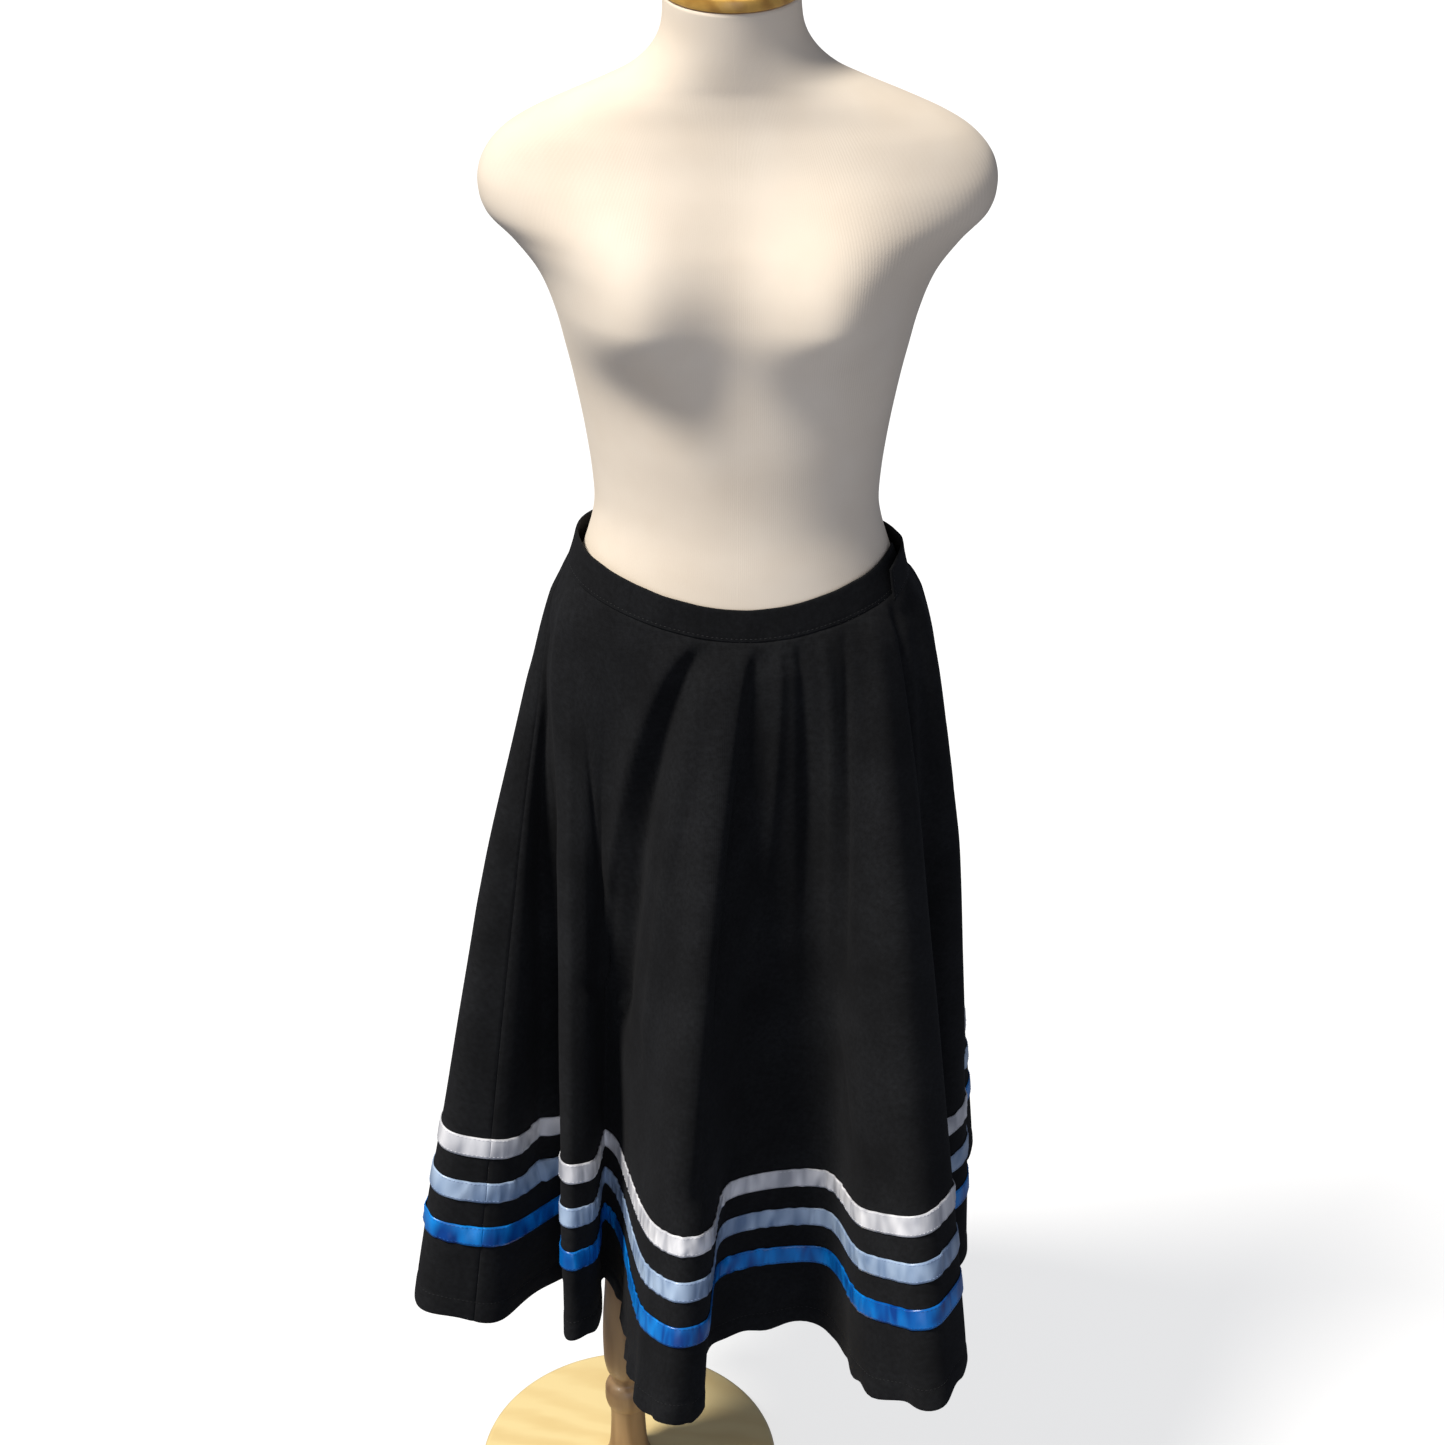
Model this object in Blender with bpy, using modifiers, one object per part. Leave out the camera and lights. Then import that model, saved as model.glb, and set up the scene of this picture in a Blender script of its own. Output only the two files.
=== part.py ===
"""Character dance skirt with three ribbons at the hem, worn by a limbless dress form on a turned stand.

Metres, +Z up. The origin is the centre of the base's underside, the front is -Y and +X is the viewer's
right. The torso stands to the right of its pole, which goes up into it on the wearer's right side.
"""
import math

import bmesh
import bpy
from mathutils import Vector

# Sizes
FORM_X = 0.112            # torso's own axis, measured from the pole
FORM_COLUMNS = 40

BASE_RADIUS = 0.157
BASE_HEIGHT = 0.028
UNDERSIDE_Z = 0.800       # flat underside of the torso
NECK_TILT = math.radians(8.3)
NECK_RADIUS = 0.053
NECK_TOP_Z = 1.556
NECK_LEAN = 0.012
NECK_ASIDE = -0.005       # the neck stands a little to the viewer's left
GAP = 0.0003              # between pieces that touch on the real thing

CLOTH = 0.0012            # skirt cloth
BAND_CLOTH = 0.0020       # doubled and interfaced waistband
RIBBON_CLOTH = 0.0010
BAND_HEIGHT = 0.028
BAND_SLACK_LEFT = 0.0080  # how far the band stands off the torso at the hips
BAND_SLACK_RIGHT = 0.0020
BAND_TOP_FRONT = 1.0765
SKIRT_LENGTH = 0.700      # from the band's lower edge to the hem
RIBBON_WIDTH = 0.019
RIBBON_PITCH = 0.043
RIBBON_FROM_HEM = 0.083   # lowest ribbon's middle
FORM_CLEARANCE = 0.0010
WAIST_SEAM = 0.0008       # from the band's lower edge to the cloth's upper edge

SEAM_LEFT_DEG = -88.0     # side seams, from the front, at the waistband
SEAM_RIGHT_DEG = 92.0
PANEL_COLUMNS = 60        # in each of the two panels
HEM_SPAN_STEPS = 16       # steps of the hem's curve between two of its points
COLUMN_CROWDING = 0.035   # metres: columns stand closer where the hem turns tightly

# The torso, section by section: height, half width, depth in front of and behind the axis,
# squareness of the outline (2 is an ellipse), and how far the section is carried forward.
FORM_SECTIONS = (
    # z      width   front   back   square lean
    (0.8000, 0.1520, 0.1000, 0.1120, 2.3, 0.000),
    (0.8060, 0.1590, 0.1070, 0.1190, 2.3, 0.000),
    (0.8200, 0.1630, 0.1110, 0.1230, 2.3, 0.000),
    (0.8500, 0.1655, 0.1125, 0.1265, 2.3, 0.000),
    (0.9000, 0.1690, 0.1125, 0.1290, 2.3, 0.000),
    (0.9500, 0.1705, 0.1115, 0.1285, 2.2, 0.000),
    (0.9900, 0.1680, 0.1100, 0.1250, 2.2, 0.000),
    (1.0200, 0.1620, 0.1085, 0.1200, 2.1, 0.000),
    (1.0450, 0.1535, 0.1070, 0.1150, 2.1, 0.000),
    (1.0700, 0.1410, 0.1050, 0.1080, 2.1, 0.000),
    (1.0950, 0.1305, 0.1020, 0.1000, 2.1, 0.000),
    (1.1300, 0.1215, 0.0970, 0.0920, 2.1, 0.000),
    (1.1600, 0.1220, 0.0950, 0.0900, 2.1, 0.000),
    (1.2000, 0.1270, 0.0950, 0.0920, 2.1, 0.000),
    (1.2400, 0.1340, 0.0945, 0.0950, 2.1, 0.000),
    (1.2750, 0.1410, 0.0940, 0.0990, 2.1, 0.000),
    (1.3100, 0.1490, 0.0940, 0.1030, 2.1, 0.000),
    (1.3400, 0.1620, 0.0930, 0.1040, 2.1, 0.000),
    (1.3650, 0.1820, 0.0890, 0.1010, 2.2, 0.000),
    (1.3850, 0.2015, 0.0830, 0.0960, 2.3, 0.000),
    (1.4070, 0.2075, 0.0760, 0.0890, 2.3, 0.000),
    (1.4280, 0.2030, 0.0690, 0.0820, 2.2, 0.000),
    (1.4470, 0.1880, 0.0630, 0.0750, 2.1, 0.001),
    (1.4610, 0.1670, 0.0590, 0.0700, 2.0, 0.002),
    (1.4740, 0.1380, 0.0565, 0.0660, 2.0, 0.003),
    (1.4860, 0.1080, 0.0550, 0.0630, 2.0, 0.004),
    (1.4970, 0.0840, 0.0540, 0.0600, 2.0, 0.006),
    (1.5120, 0.0660, 0.0535, 0.0560, 2.0, 0.008),
    (1.5300, 0.0560, 0.0530, 0.0535, 2.0, 0.010),
    (1.5560, 0.0530, 0.0530, 0.0530, 2.0, 0.012),
)
BUST_X = 0.084
BUST_Z = 1.318
BUST_OUT = 0.040
BUST_HALF_WIDTH = 0.041
BUST_BELOW = 0.033
BUST_ABOVE = 0.058

# The skirt's folds all round, from the front fold towards the viewer's right: where the crest's line
# starts at the waistband, in degrees from the front, how much longer the cloth hangs there and how far
# it bulges over the hip, in millimetres. Then the hem's points, in degrees from the front and
# millimetres from the torso's axis: the fold's left shoulder, its crest, its right shoulder and the
# valley that follows it, with the valley's half width.
HEM_FOLDS = (
    # name         waist longer bulge left         crest       right       valley      half
    ("front",         -3,   0,   6, (-16.5, 300), (-10.5, 322), (-6.5, 300), (11.0, 172), 52),
    ("right_front",   55,   8,  12, (24.0, 292), (29.5, 346), (41.0, 322), (51.0, 205), 9),
    ("right_side",    80,   0,  24, (60.0, 233), (68.0, 241), (76.0, 232), (88.0, 190), 10),
    ("rear_right",   106,   0,  22, (104.5, 246), (111.5, 262), (118.0, 252), (129.0, 200), 14),
    ("back_right",   136,   4,  14, (137.0, 284), (144.0, 302), (151.0, 286), (163.0, 200), 16),
    ("back",         176,   6,  10, (174.0, 290), (182.0, 306), (190.0, 290), (202.0, 205), 16),
    ("back_left",    213,   4,  10, (212.0, 284), (219.0, 300), (226.0, 284), (237.0, 205), 14),
    ("rear_left",    244,   6,  12, (246.0, 268), (253.0, 282), (260.0, 270), (272.0, 214), 14),
    ("left",         268,  22,  12, (295.5, 333), (304.0, 345), (310.5, 298), (303.0, 187), 10),
    ("narrow",       292,  20,   6, (316.0, 234), (321.5, 248), (323.0, 222), (309.0, 156), 10),
)
PANEL_DROPS = (0.0, 0.020, 0.050, 0.090, 0.150, 0.230, 0.320, 0.420)   # from the band, metres


# Small helpers
def fresh_scene():
    for item in list(bpy.data.objects):
        bpy.data.objects.remove(item, do_unlink=True)


def material(name, colour, roughness, metallic=0.0):
    """A Principled material in linear colour."""
    mat = bpy.data.materials.new(name)
    mat.use_nodes = True
    shader = mat.node_tree.nodes["Principled BSDF"]
    shader.inputs["Base Color"].default_value = (*colour, 1.0)
    shader.inputs["Roughness"].default_value = roughness
    shader.inputs["Metallic"].default_value = metallic
    mat.diffuse_color = (*colour, 1.0)
    return mat


def put(name, mesh, mat, collection, parent=None):
    item = bpy.data.objects.new(name, mesh)
    mesh.materials.append(mat)
    collection.objects.link(item)
    if parent is not None:
        item.parent = parent
    return item


def grid_mesh(name, rows, closed):
    """Quads between rows of points. A closed row joins its last point to its first."""
    bm = bmesh.new()
    made = [[bm.verts.new(p) for p in row] for row in rows]
    count = len(rows[0])
    for upper, lower in zip(made, made[1:]):
        for i in range(count if closed else count - 1):
            j = (i + 1) % count
            bm.faces.new((upper[i], lower[i], lower[j], upper[j]))
    mesh = bpy.data.meshes.new(name)
    bm.to_mesh(mesh)
    bm.free()
    mesh.shade_smooth()
    return mesh


def table_value(table, z, column):
    """A column of a section table at height z, with smooth monotone-looking steps between the rows."""
    if z <= table[0][0]:
        return table[0][column]
    for i in range(len(table) - 1):
        low, high = table[i], table[i + 1]
        if z <= high[0]:
            before = table[max(i - 1, 0)]
            after = table[min(i + 2, len(table) - 1)]
            span = high[0] - low[0]
            t = (z - low[0]) / span
            start = (high[column] - before[column]) / (high[0] - before[0]) * span
            end = (after[column] - low[column]) / (after[0] - low[0]) * span
            return ((2 * t**3 - 3 * t**2 + 1) * low[column] + (t**3 - 2 * t**2 + t) * start
                    + (3 * t**2 - 2 * t**3) * high[column] + (t**3 - t**2) * end)
    return table[-1][column]


# The torso
def form_radius(angle, z):
    """Distance from the torso's axis to its side, towards an angle from the front."""
    width = table_value(FORM_SECTIONS, z, 1)
    depth = table_value(FORM_SECTIONS, z, 2 if math.cos(angle) > 0 else 3)
    power = table_value(FORM_SECTIONS, z, 4)
    across = abs(math.sin(angle)) / width
    along = abs(math.cos(angle)) / depth
    return (across**power + along**power) ** (-1.0 / power)


def form_point(angle, z):
    """A point of the torso's surface, with the bust, the lean and the sloped neck."""
    r = form_radius(angle, z)
    x = r * math.sin(angle)
    y = -r * math.cos(angle)
    if y < 0.01:
        reach = BUST_BELOW if z < BUST_Z else BUST_ABOVE
        for side in (-BUST_X, BUST_X):
            spread = ((x - side) / BUST_HALF_WIDTH) ** 2 + ((z - BUST_Z) / reach) ** 2
            y -= BUST_OUT * math.exp(-0.5 * spread) * min(1.0, (0.01 - y) / 0.03)
    lean = table_value(FORM_SECTIONS, z, 5)
    slope = math.tan(NECK_TILT) * (lean / NECK_LEAN) ** 2
    return Vector((FORM_X + x + NECK_ASIDE * lean / NECK_LEAN, y - lean, z + y * slope))


def build_torso(mat, collection, stand):
    heights = []
    for low, high in zip(FORM_SECTIONS, FORM_SECTIONS[1:]):
        heights.append(low[0])
        if high[0] - low[0] > 0.030:
            heights.append((low[0] + high[0]) / 2)
    heights.append(FORM_SECTIONS[-1][0])
    rows = []
    for z in reversed(heights):
        rows.append([form_point(math.tau * i / FORM_COLUMNS, z) for i in range(FORM_COLUMNS)])
    mesh = grid_mesh("form_torso", rows, True)
    bm = bmesh.new()
    bm.from_mesh(mesh)
    bmesh.ops.holes_fill(bm, edges=[e for e in bm.edges if e.is_boundary], sides=0)
    bmesh.ops.recalc_face_normals(bm, faces=bm.faces)
    bm.to_mesh(mesh)
    bm.free()
    mesh.set_sharp_from_angle(angle=math.radians(50))
    return put("form_torso", mesh, mat, collection, stand)


# Turned wood
def turned(name, profile, mat, collection, parent, place=(0, 0, 0), tilt=0.0, steps=32):
    """A profile of (radius, height) points, top to bottom, turned about its own Z axis."""
    bm = bmesh.new()
    points = [bm.verts.new((r, 0, h)) for r, h in profile]
    for a, b in zip(points, points[1:]):
        bm.edges.new((a, b))
    mesh = bpy.data.meshes.new(name)
    bm.to_mesh(mesh)
    bm.free()
    item = put(name, mesh, mat, collection, parent)
    item.location = place
    item.rotation_euler = (tilt, 0, 0)
    screw = item.modifiers.new("turn", "SCREW")
    screw.steps = steps
    screw.render_steps = steps
    screw.use_merge_vertices = True
    screw.merge_threshold = 0.00005
    screw.use_smooth_shade = True
    return item


def rounded_edge(radius, height, fillet, inwards, steps=3):
    """The quarter round between a face at height and a side at radius. inwards is +1 above, -1 below."""
    points = []
    for i in range(steps + 1):
        a = math.pi / 2 * i / steps
        points.append((radius - fillet + fillet * math.sin(a), height - inwards * fillet * (1 - math.cos(a))))
    return points if inwards > 0 else points[::-1]


def build_stand(wood_pale, wood_turned, wood_cap, collection):
    stand = bpy.data.objects.new("stand", None)
    collection.objects.link(stand)
    base = [(0.0, BASE_HEIGHT)]
    base += rounded_edge(BASE_RADIUS, BASE_HEIGHT, 0.006, 1)
    base += rounded_edge(BASE_RADIUS, 0.0, 0.003, -1, 2)
    base += [(0.0, 0.0)]
    turned("base_disc", base, wood_pale, collection, stand, steps=48)
    # Baluster: foot, ring, vase and plain shaft, with a spread head under the torso.
    foot = BASE_HEIGHT + GAP
    head = UNDERSIDE_Z - GAP
    pole = (
        (0.0, head), (0.0290, head), (0.0300, head - 0.002), (0.0300, head - 0.010),
        (0.0250, head - 0.018), (0.0195, head - 0.026), (0.0180, head - 0.040),
        (0.0175, 0.520), (0.0180, 0.360), (0.0190, 0.300), (0.0212, 0.258), (0.0235, 0.222),
        (0.0242, 0.195), (0.0238, 0.170), (0.0212, 0.153), (0.0160, 0.142), (0.0155, 0.138),
        (0.0205, 0.133), (0.0232, 0.126), (0.0235, 0.116), (0.0215, 0.106), (0.0185, 0.101),
        (0.0180, 0.090), (0.0190, 0.060), (0.0215, 0.040), (0.0240, foot + 0.004), (0.0240, foot),
        (0.0, foot),
    )
    turned("pole", pole, wood_turned, collection, stand, steps=22)
    cap = [(0.0, 0.026), (0.018, 0.0245), (0.034, 0.0195), (0.0455, 0.0115)]
    cap += [(0.0525, 0.0105), (0.0545, 0.0085), (0.0545, 0.0025), (0.0525, 0.0), (0.0, 0.0)]
    lift = GAP + 0.0002
    turned("neck_cap", cap, wood_cap, collection, stand,
           place=(FORM_X + NECK_ASIDE, -NECK_LEAN, NECK_TOP_Z + lift), tilt=NECK_TILT, steps=30)
    return stand


# The waistband's line
def band_top_z(angle):
    """The band dips at the front, rises over the hips and is a little higher on the left."""
    return BAND_TOP_FRONT + 0.025 * math.sin(angle) ** 2 - 0.004 * math.sin(angle)


def band_point(angle, drop, outward=0.0):
    """The middle of the band's wall, drop metres below its top edge."""
    z = band_top_z(angle) - drop
    slack = BAND_SLACK_LEFT if math.sin(angle) < 0 else BAND_SLACK_RIGHT
    stand_off = slack * math.sin(angle) ** 2 * (1 - 0.25 * drop / BAND_HEIGHT)
    r = form_radius(angle, z) + BAND_CLOTH / 2 + 0.0005 + stand_off + outward
    return Vector((FORM_X + r * math.sin(angle), -r * math.cos(angle), z))


def band_arc_table(drop, steps=720):
    """Length along the band's ring at each of its angles, starting at the front."""
    points = [band_point(math.tau * i / steps, drop) for i in range(steps + 1)]
    lengths = [0.0]
    for a, b in zip(points, points[1:]):
        lengths.append(lengths[-1] + (b - a).length)
    return lengths


BAND_ARC = band_arc_table(BAND_HEIGHT)


def band_angle(fraction):
    """The angle at a fraction of the band's length."""
    target = (fraction % 1.0) * BAND_ARC[-1]
    steps = len(BAND_ARC) - 1
    low, high = 0, steps
    while high - low > 1:
        middle = (low + high) // 2
        if BAND_ARC[middle] <= target:
            low = middle
        else:
            high = middle
    part = (target - BAND_ARC[low]) / (BAND_ARC[high] - BAND_ARC[low])
    return math.tau * (low + part) / steps


def band_fraction(degrees):
    steps = len(BAND_ARC) - 1
    place = (degrees % 360.0) / 360.0 * steps
    low = int(place) % steps
    length = BAND_ARC[low] + (BAND_ARC[low + 1] - BAND_ARC[low]) * (place - int(place))
    return length / BAND_ARC[-1]


# The hem's line
def polar(degrees, millimetres):
    a = math.radians(degrees)
    return Vector((math.sin(a), -math.cos(a))) * (millimetres / 1000)


def hem_corners():
    """The folds' shoulders, crests and valleys as points round the torso's axis."""
    points, crests = [], {}
    for name, waist, longer, bulge, left, crest, right, valley, half in HEM_FOLDS:
        crests[name] = len(points) + 1
        points += [polar(*left), polar(*crest), polar(*right)]
        a = math.radians(valley[0])
        along = Vector((math.cos(a), math.sin(a))) * (half / 1000)
        points += [polar(*valley) - along, polar(*valley) + along]
    return points, crests


def smooth_loop(points, per_span):
    """A closed centripetal spline through the points."""
    out, count = [], len(points)
    for i in range(count):
        p0, p1, p2, p3 = (points[(i + k) % count] for k in (-1, 0, 1, 2))
        t0 = 0.0
        t1 = t0 + max((p1 - p0).length, 1e-6) ** 0.5
        t2 = t1 + max((p2 - p1).length, 1e-6) ** 0.5
        t3 = t2 + max((p3 - p2).length, 1e-6) ** 0.5
        for k in range(per_span):
            t = t1 + (t2 - t1) * k / per_span
            a1 = p0 * ((t1 - t) / (t1 - t0)) + p1 * ((t - t0) / (t1 - t0))
            a2 = p1 * ((t2 - t) / (t2 - t1)) + p2 * ((t - t1) / (t2 - t1))
            a3 = p2 * ((t3 - t) / (t3 - t2)) + p3 * ((t - t2) / (t3 - t2))
            b1 = a1 * ((t2 - t) / (t2 - t0)) + a2 * ((t - t0) / (t2 - t0))
            b2 = a2 * ((t3 - t) / (t3 - t1)) + a3 * ((t - t1) / (t3 - t1))
            out.append(b1 * ((t2 - t) / (t2 - t1)) + b2 * ((t - t1) / (t2 - t1)))
    return out


HEM_CORNERS, HEM_CRESTS = hem_corners()
HEM_LOOP = smooth_loop(HEM_CORNERS, HEM_SPAN_STEPS)
HEM_ARC = [0.0]
for first, second in zip(HEM_LOOP, HEM_LOOP[1:] + HEM_LOOP[:1]):
    HEM_ARC.append(HEM_ARC[-1] + (second - first).length)
def crest_table():
    """Each crest's share of the band and of the hem, with its extra length and bulge in metres."""
    rows = []
    for name, waist, longer, bulge, *rest in HEM_FOLDS:
        at_hem = HEM_ARC[HEM_CRESTS[name] * HEM_SPAN_STEPS] / HEM_ARC[-1]
        at_band = band_fraction(waist) if waist >= 0 else band_fraction(waist) - 1.0
        rows.append((at_band, at_hem, longer / 1000, bulge / 1000))
    first = rows[0]
    rows.append((first[0] + 1.0, first[1] + 1.0, first[2], first[3]))
    return rows


CREST_TABLE = crest_table()


def at_fraction(fraction):
    """Under a fraction of the band: the hem's share, the cloth's extra length and its bulge."""
    start = CREST_TABLE[0][0]
    place = (fraction - start) % 1.0 + start
    for low, high in zip(CREST_TABLE, CREST_TABLE[1:]):
        if place <= high[0]:
            part = (place - low[0]) / (high[0] - low[0])
            ease = part * part * (3 - 2 * part)
            share = low[1] + (high[1] - low[1]) * part
            return share, low[2] + (high[2] - low[2]) * ease, low[3] + (high[3] - low[3]) * ease
    return CREST_TABLE[-1][1:]


def hem_point(fraction):
    """The hem's plan position under a fraction of the band."""
    target = (at_fraction(fraction)[0] % 1.0) * HEM_ARC[-1]
    low, high = 0, len(HEM_ARC) - 1
    while high - low > 1:
        middle = (low + high) // 2
        if HEM_ARC[middle] <= target:
            low = middle
        else:
            high = middle
    part = (target - HEM_ARC[low]) / (HEM_ARC[high] - HEM_ARC[low])
    return HEM_LOOP[low].lerp(HEM_LOOP[high % len(HEM_LOOP)], part)


# The skirt's surface
def skirt_point(fraction, drop):
    """A point of the cloth, drop metres down from the band along the cloth."""
    angle = band_angle(fraction)
    top = band_point(angle, BAND_HEIGHT + WAIST_SEAM)
    hem = hem_point(fraction)
    share, longer, bulge = at_fraction(fraction)
    reach = (Vector((hem.x + FORM_X, hem.y)) - top.xy).length
    fall = math.sqrt((SKIRT_LENGTH + longer) ** 2 - reach**2)
    share = drop / SKIRT_LENGTH
    x = top.x + (hem.x + FORM_X - top.x) * share - FORM_X
    y = top.y + (hem.y - top.y) * share
    z = top.z - fall * share
    r = math.hypot(x, y) + bulge * math.sin(math.pi * share**0.6)
    a = math.atan2(x, -y)
    if z > UNDERSIDE_Z - 0.03 and drop > 0:
        wall = form_radius(a, z) + CLOTH / 2 + FORM_CLEARANCE
        ease = min(1.0, drop / 0.030)
        soft = 0.010 * ease
        pushed = 0.5 * (r + wall + math.sqrt((r - wall) ** 2 + soft**2))
        fade = min(1.0, max(0.0, (z - (UNDERSIDE_Z - 0.03)) / 0.06))
        fade = fade * fade * (3 - 2 * fade)
        r = r + (pushed - r) * fade
    return Vector((FORM_X + r * math.sin(a), -r * math.cos(a), z))


def ribbon_drops():
    """The upper and lower edge of each ribbon, down the cloth from the band, from the top ribbon."""
    out = []
    for number in (2, 1, 0):
        middle = SKIRT_LENGTH - RIBBON_FROM_HEM - number * RIBBON_PITCH
        out.append((middle - RIBBON_WIDTH / 2, middle + RIBBON_WIDTH / 2))
    return out


def column_fractions(start, end, steps=600):
    """Fractions of the cut for a panel's columns, crowded where the hem turns tightly."""
    spots = [start + (end - start) * i / steps for i in range(steps + 1)]
    points = [hem_point(f) for f in spots]
    weight = [0.0]
    for i in range(steps):
        before = points[i] - points[max(i - 1, 0)]
        after = points[i + 1] - points[i]
        turn = before.angle(after, 0.0) if before.length > 0 else 0.0
        weight.append(weight[-1] + after.length + COLUMN_CROWDING * turn)
    out, j = [], 0
    for i in range(PANEL_COLUMNS + 1):
        target = weight[-1] * i / PANEL_COLUMNS
        while j < steps - 1 and weight[j + 1] < target:
            j += 1
        part = (target - weight[j]) / (weight[j + 1] - weight[j])
        out.append(spots[j] + (spots[j + 1] - spots[j]) * part)
    return out


def panel_rows(start, end):
    """Rows of cloth points and their outward normals between two fractions, from the band to the hem."""
    fractions = column_fractions(start, end)
    # one more column past each seam, so that both panels lean the same way where they meet
    past = [2 * fractions[0] - fractions[1]] + fractions + [2 * fractions[-1] - fractions[-2]]
    drops = list(PANEL_DROPS)
    for pair in ribbon_drops():
        drops += pair
    drops.append(SKIRT_LENGTH)
    wide = [[skirt_point(fraction, drop) for fraction in past] for drop in drops]
    guide = grid_mesh("guide", wide, False)
    leans = [v.vector.copy() for v in guide.vertex_normals]
    bpy.data.meshes.remove(guide)
    rows, normals = [], []
    for r, row in enumerate(wide):
        row = row[1:-1]
        row[0] = row[0] + (row[1] - row[0]).normalized() * GAP / 2
        row[-1] = row[-1] + (row[-2] - row[-1]).normalized() * GAP / 2
        rows.append(row)
        normals.append(leans[r * len(past) + 1:(r + 1) * len(past) - 1])
    return drops, rows, normals


def thicken(item, thickness):
    wall = item.modifiers.new("wall", "SOLIDIFY")
    wall.thickness = thickness
    wall.offset = 0.0
    wall.use_even_offset = False
    wall.use_rim = True


def cloth_wall(name, rows, normals, middle, thickness):
    """A closed cloth wall whose middle lies a distance outside the rows. The leans are given, so that
    the edges of two panels stay parallel at their seam."""
    bm = bmesh.new()
    faces = []
    for offset in (middle + thickness / 2, middle - thickness / 2):
        faces.append([[bm.verts.new(point + lean * offset) for point, lean in zip(row, leans)]
                      for row, leans in zip(rows, normals)])
    outer, inner = faces
    last_row, last = len(rows) - 1, len(rows[0]) - 1
    for r in range(last_row):
        for i in range(last):
            bm.faces.new((outer[r][i], outer[r + 1][i], outer[r + 1][i + 1], outer[r][i + 1]))
            bm.faces.new((inner[r][i], inner[r][i + 1], inner[r + 1][i + 1], inner[r + 1][i]))
    edge = [(0, i) for i in range(last)] + [(r, last) for r in range(last_row)]
    edge += [(last_row, i) for i in range(last, 0, -1)] + [(r, 0) for r in range(last_row, 0, -1)]
    for (r, i), (s, k) in zip(edge, edge[1:] + edge[:1]):
        bm.faces.new((outer[r][i], outer[s][k], inner[s][k], inner[r][i]))
    mesh = bpy.data.meshes.new(name)
    bm.to_mesh(mesh)
    bm.free()
    mesh.shade_smooth()
    mesh.set_sharp_from_angle(angle=math.radians(60))
    return mesh


def build_panels(cloth, ribbons, collection, stand):
    left = band_fraction(SEAM_LEFT_DEG) - 1.0
    right = band_fraction(SEAM_RIGHT_DEG)
    for side, start, end in (("front", left, right), ("back", right, left + 1.0)):
        drops, rows, normals = panel_rows(start, end)
        name = f"skirt_{side}"
        put(name, cloth_wall(name, rows, normals, 0.0, CLOTH), cloth, collection, stand)
        lift = CLOTH / 2 + GAP + RIBBON_CLOTH / 2
        for (colour, mat), pair in zip(ribbons, ribbon_drops()):
            at = [drops.index(edge) for edge in pair]
            name = f"ribbon_{colour}_{side}"
            strip = cloth_wall(name, [rows[r] for r in at], [normals[r] for r in at], lift, RIBBON_CLOTH)
            put(name, strip, mat, collection, stand)


# The waistband
TAB_START_DEG = 97.0      # where the back band leaves the ring to lie over the front one
TAB_END_DEG = 65.0
FRONT_BAND_END_DEG = 84.0


def tab_lift(degrees):
    """How far the back band stands outside the ring, and how far its end drops."""
    t = min(1.0, max(0.0, (TAB_START_DEG - degrees) / (TAB_START_DEG - 86.0)))
    over = t * t * (3 - 2 * t) * (BAND_CLOTH + 0.0012)
    s = min(1.0, max(0.0, (86.0 - degrees) / (86.0 - TAB_END_DEG)))
    return over + 0.0030 * s * s, 0.0040 * s * s


def build_bands(cloth, collection, stand):
    drops = (0.0, BAND_HEIGHT / 2, BAND_HEIGHT)
    slack = math.degrees(GAP / 2 / 0.145)
    front = [(SEAM_LEFT_DEG + slack) + (FRONT_BAND_END_DEG - SEAM_LEFT_DEG - slack) * i / 34 for i in range(35)]
    rows = [[band_point(math.radians(d), drop) for d in front] for drop in drops]
    item = put("waistband_front", grid_mesh("waistband_front", rows, False), cloth, collection, stand)
    thicken(item, BAND_CLOTH)
    last = SEAM_LEFT_DEG + 360 - slack
    back = [TAB_END_DEG + (last - TAB_END_DEG) * i / 44 for i in range(45)]
    rows = []
    for drop in drops:
        row = []
        for d in back:
            over, sink = tab_lift(d)
            point = band_point(math.radians(d), drop, over)
            point.z -= sink
            row.append(point)
        rows.append(row)
    item = put("waistband_back", grid_mesh("waistband_back", rows, False), cloth, collection, stand)
    thicken(item, BAND_CLOTH)


# Assembly
def main():
    fresh_scene()
    collection = bpy.data.collections.new("character dance skirt on a dress form")
    bpy.context.scene.collection.children.link(collection)
    black = material("black_cloth", (0.010, 0.010, 0.012), 0.85)
    white = material("white_satin", (0.72, 0.72, 0.78), 0.35)
    pale = material("pale_blue_satin", (0.32, 0.42, 0.68), 0.35)
    royal = material("royal_blue_satin", (0.01, 0.16, 0.58), 0.35)
    jersey = material("ivory_jersey", (0.80, 0.76, 0.66), 0.90)
    pale_wood = material("pale_wood", (0.76, 0.56, 0.30), 0.45)
    turned_wood = material("turned_wood", (0.42, 0.27, 0.14), 0.50)
    cap_wood = material("cap_wood", (0.55, 0.36, 0.15), 0.45)
    stand = build_stand(pale_wood, turned_wood, cap_wood, collection)
    build_torso(jersey, collection, stand)
    ribbons = (("white", white), ("pale_blue", pale), ("royal_blue", royal))
    build_panels(black, ribbons, collection, stand)
    build_bands(black, collection, stand)


main()
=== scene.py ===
# %% [markdown]
# # A character dance skirt on its dress form
#
# The skirt is cut as a half circle of black cotton in two panels, with three satin ribbons sewn round
# it above the hem. It hangs from a stiff waistband on a limbless, jersey-covered form, which stands on
# a turned pole. The CAD solids come in as a fixed frame, and each cell dresses one piece of it.

import math

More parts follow.
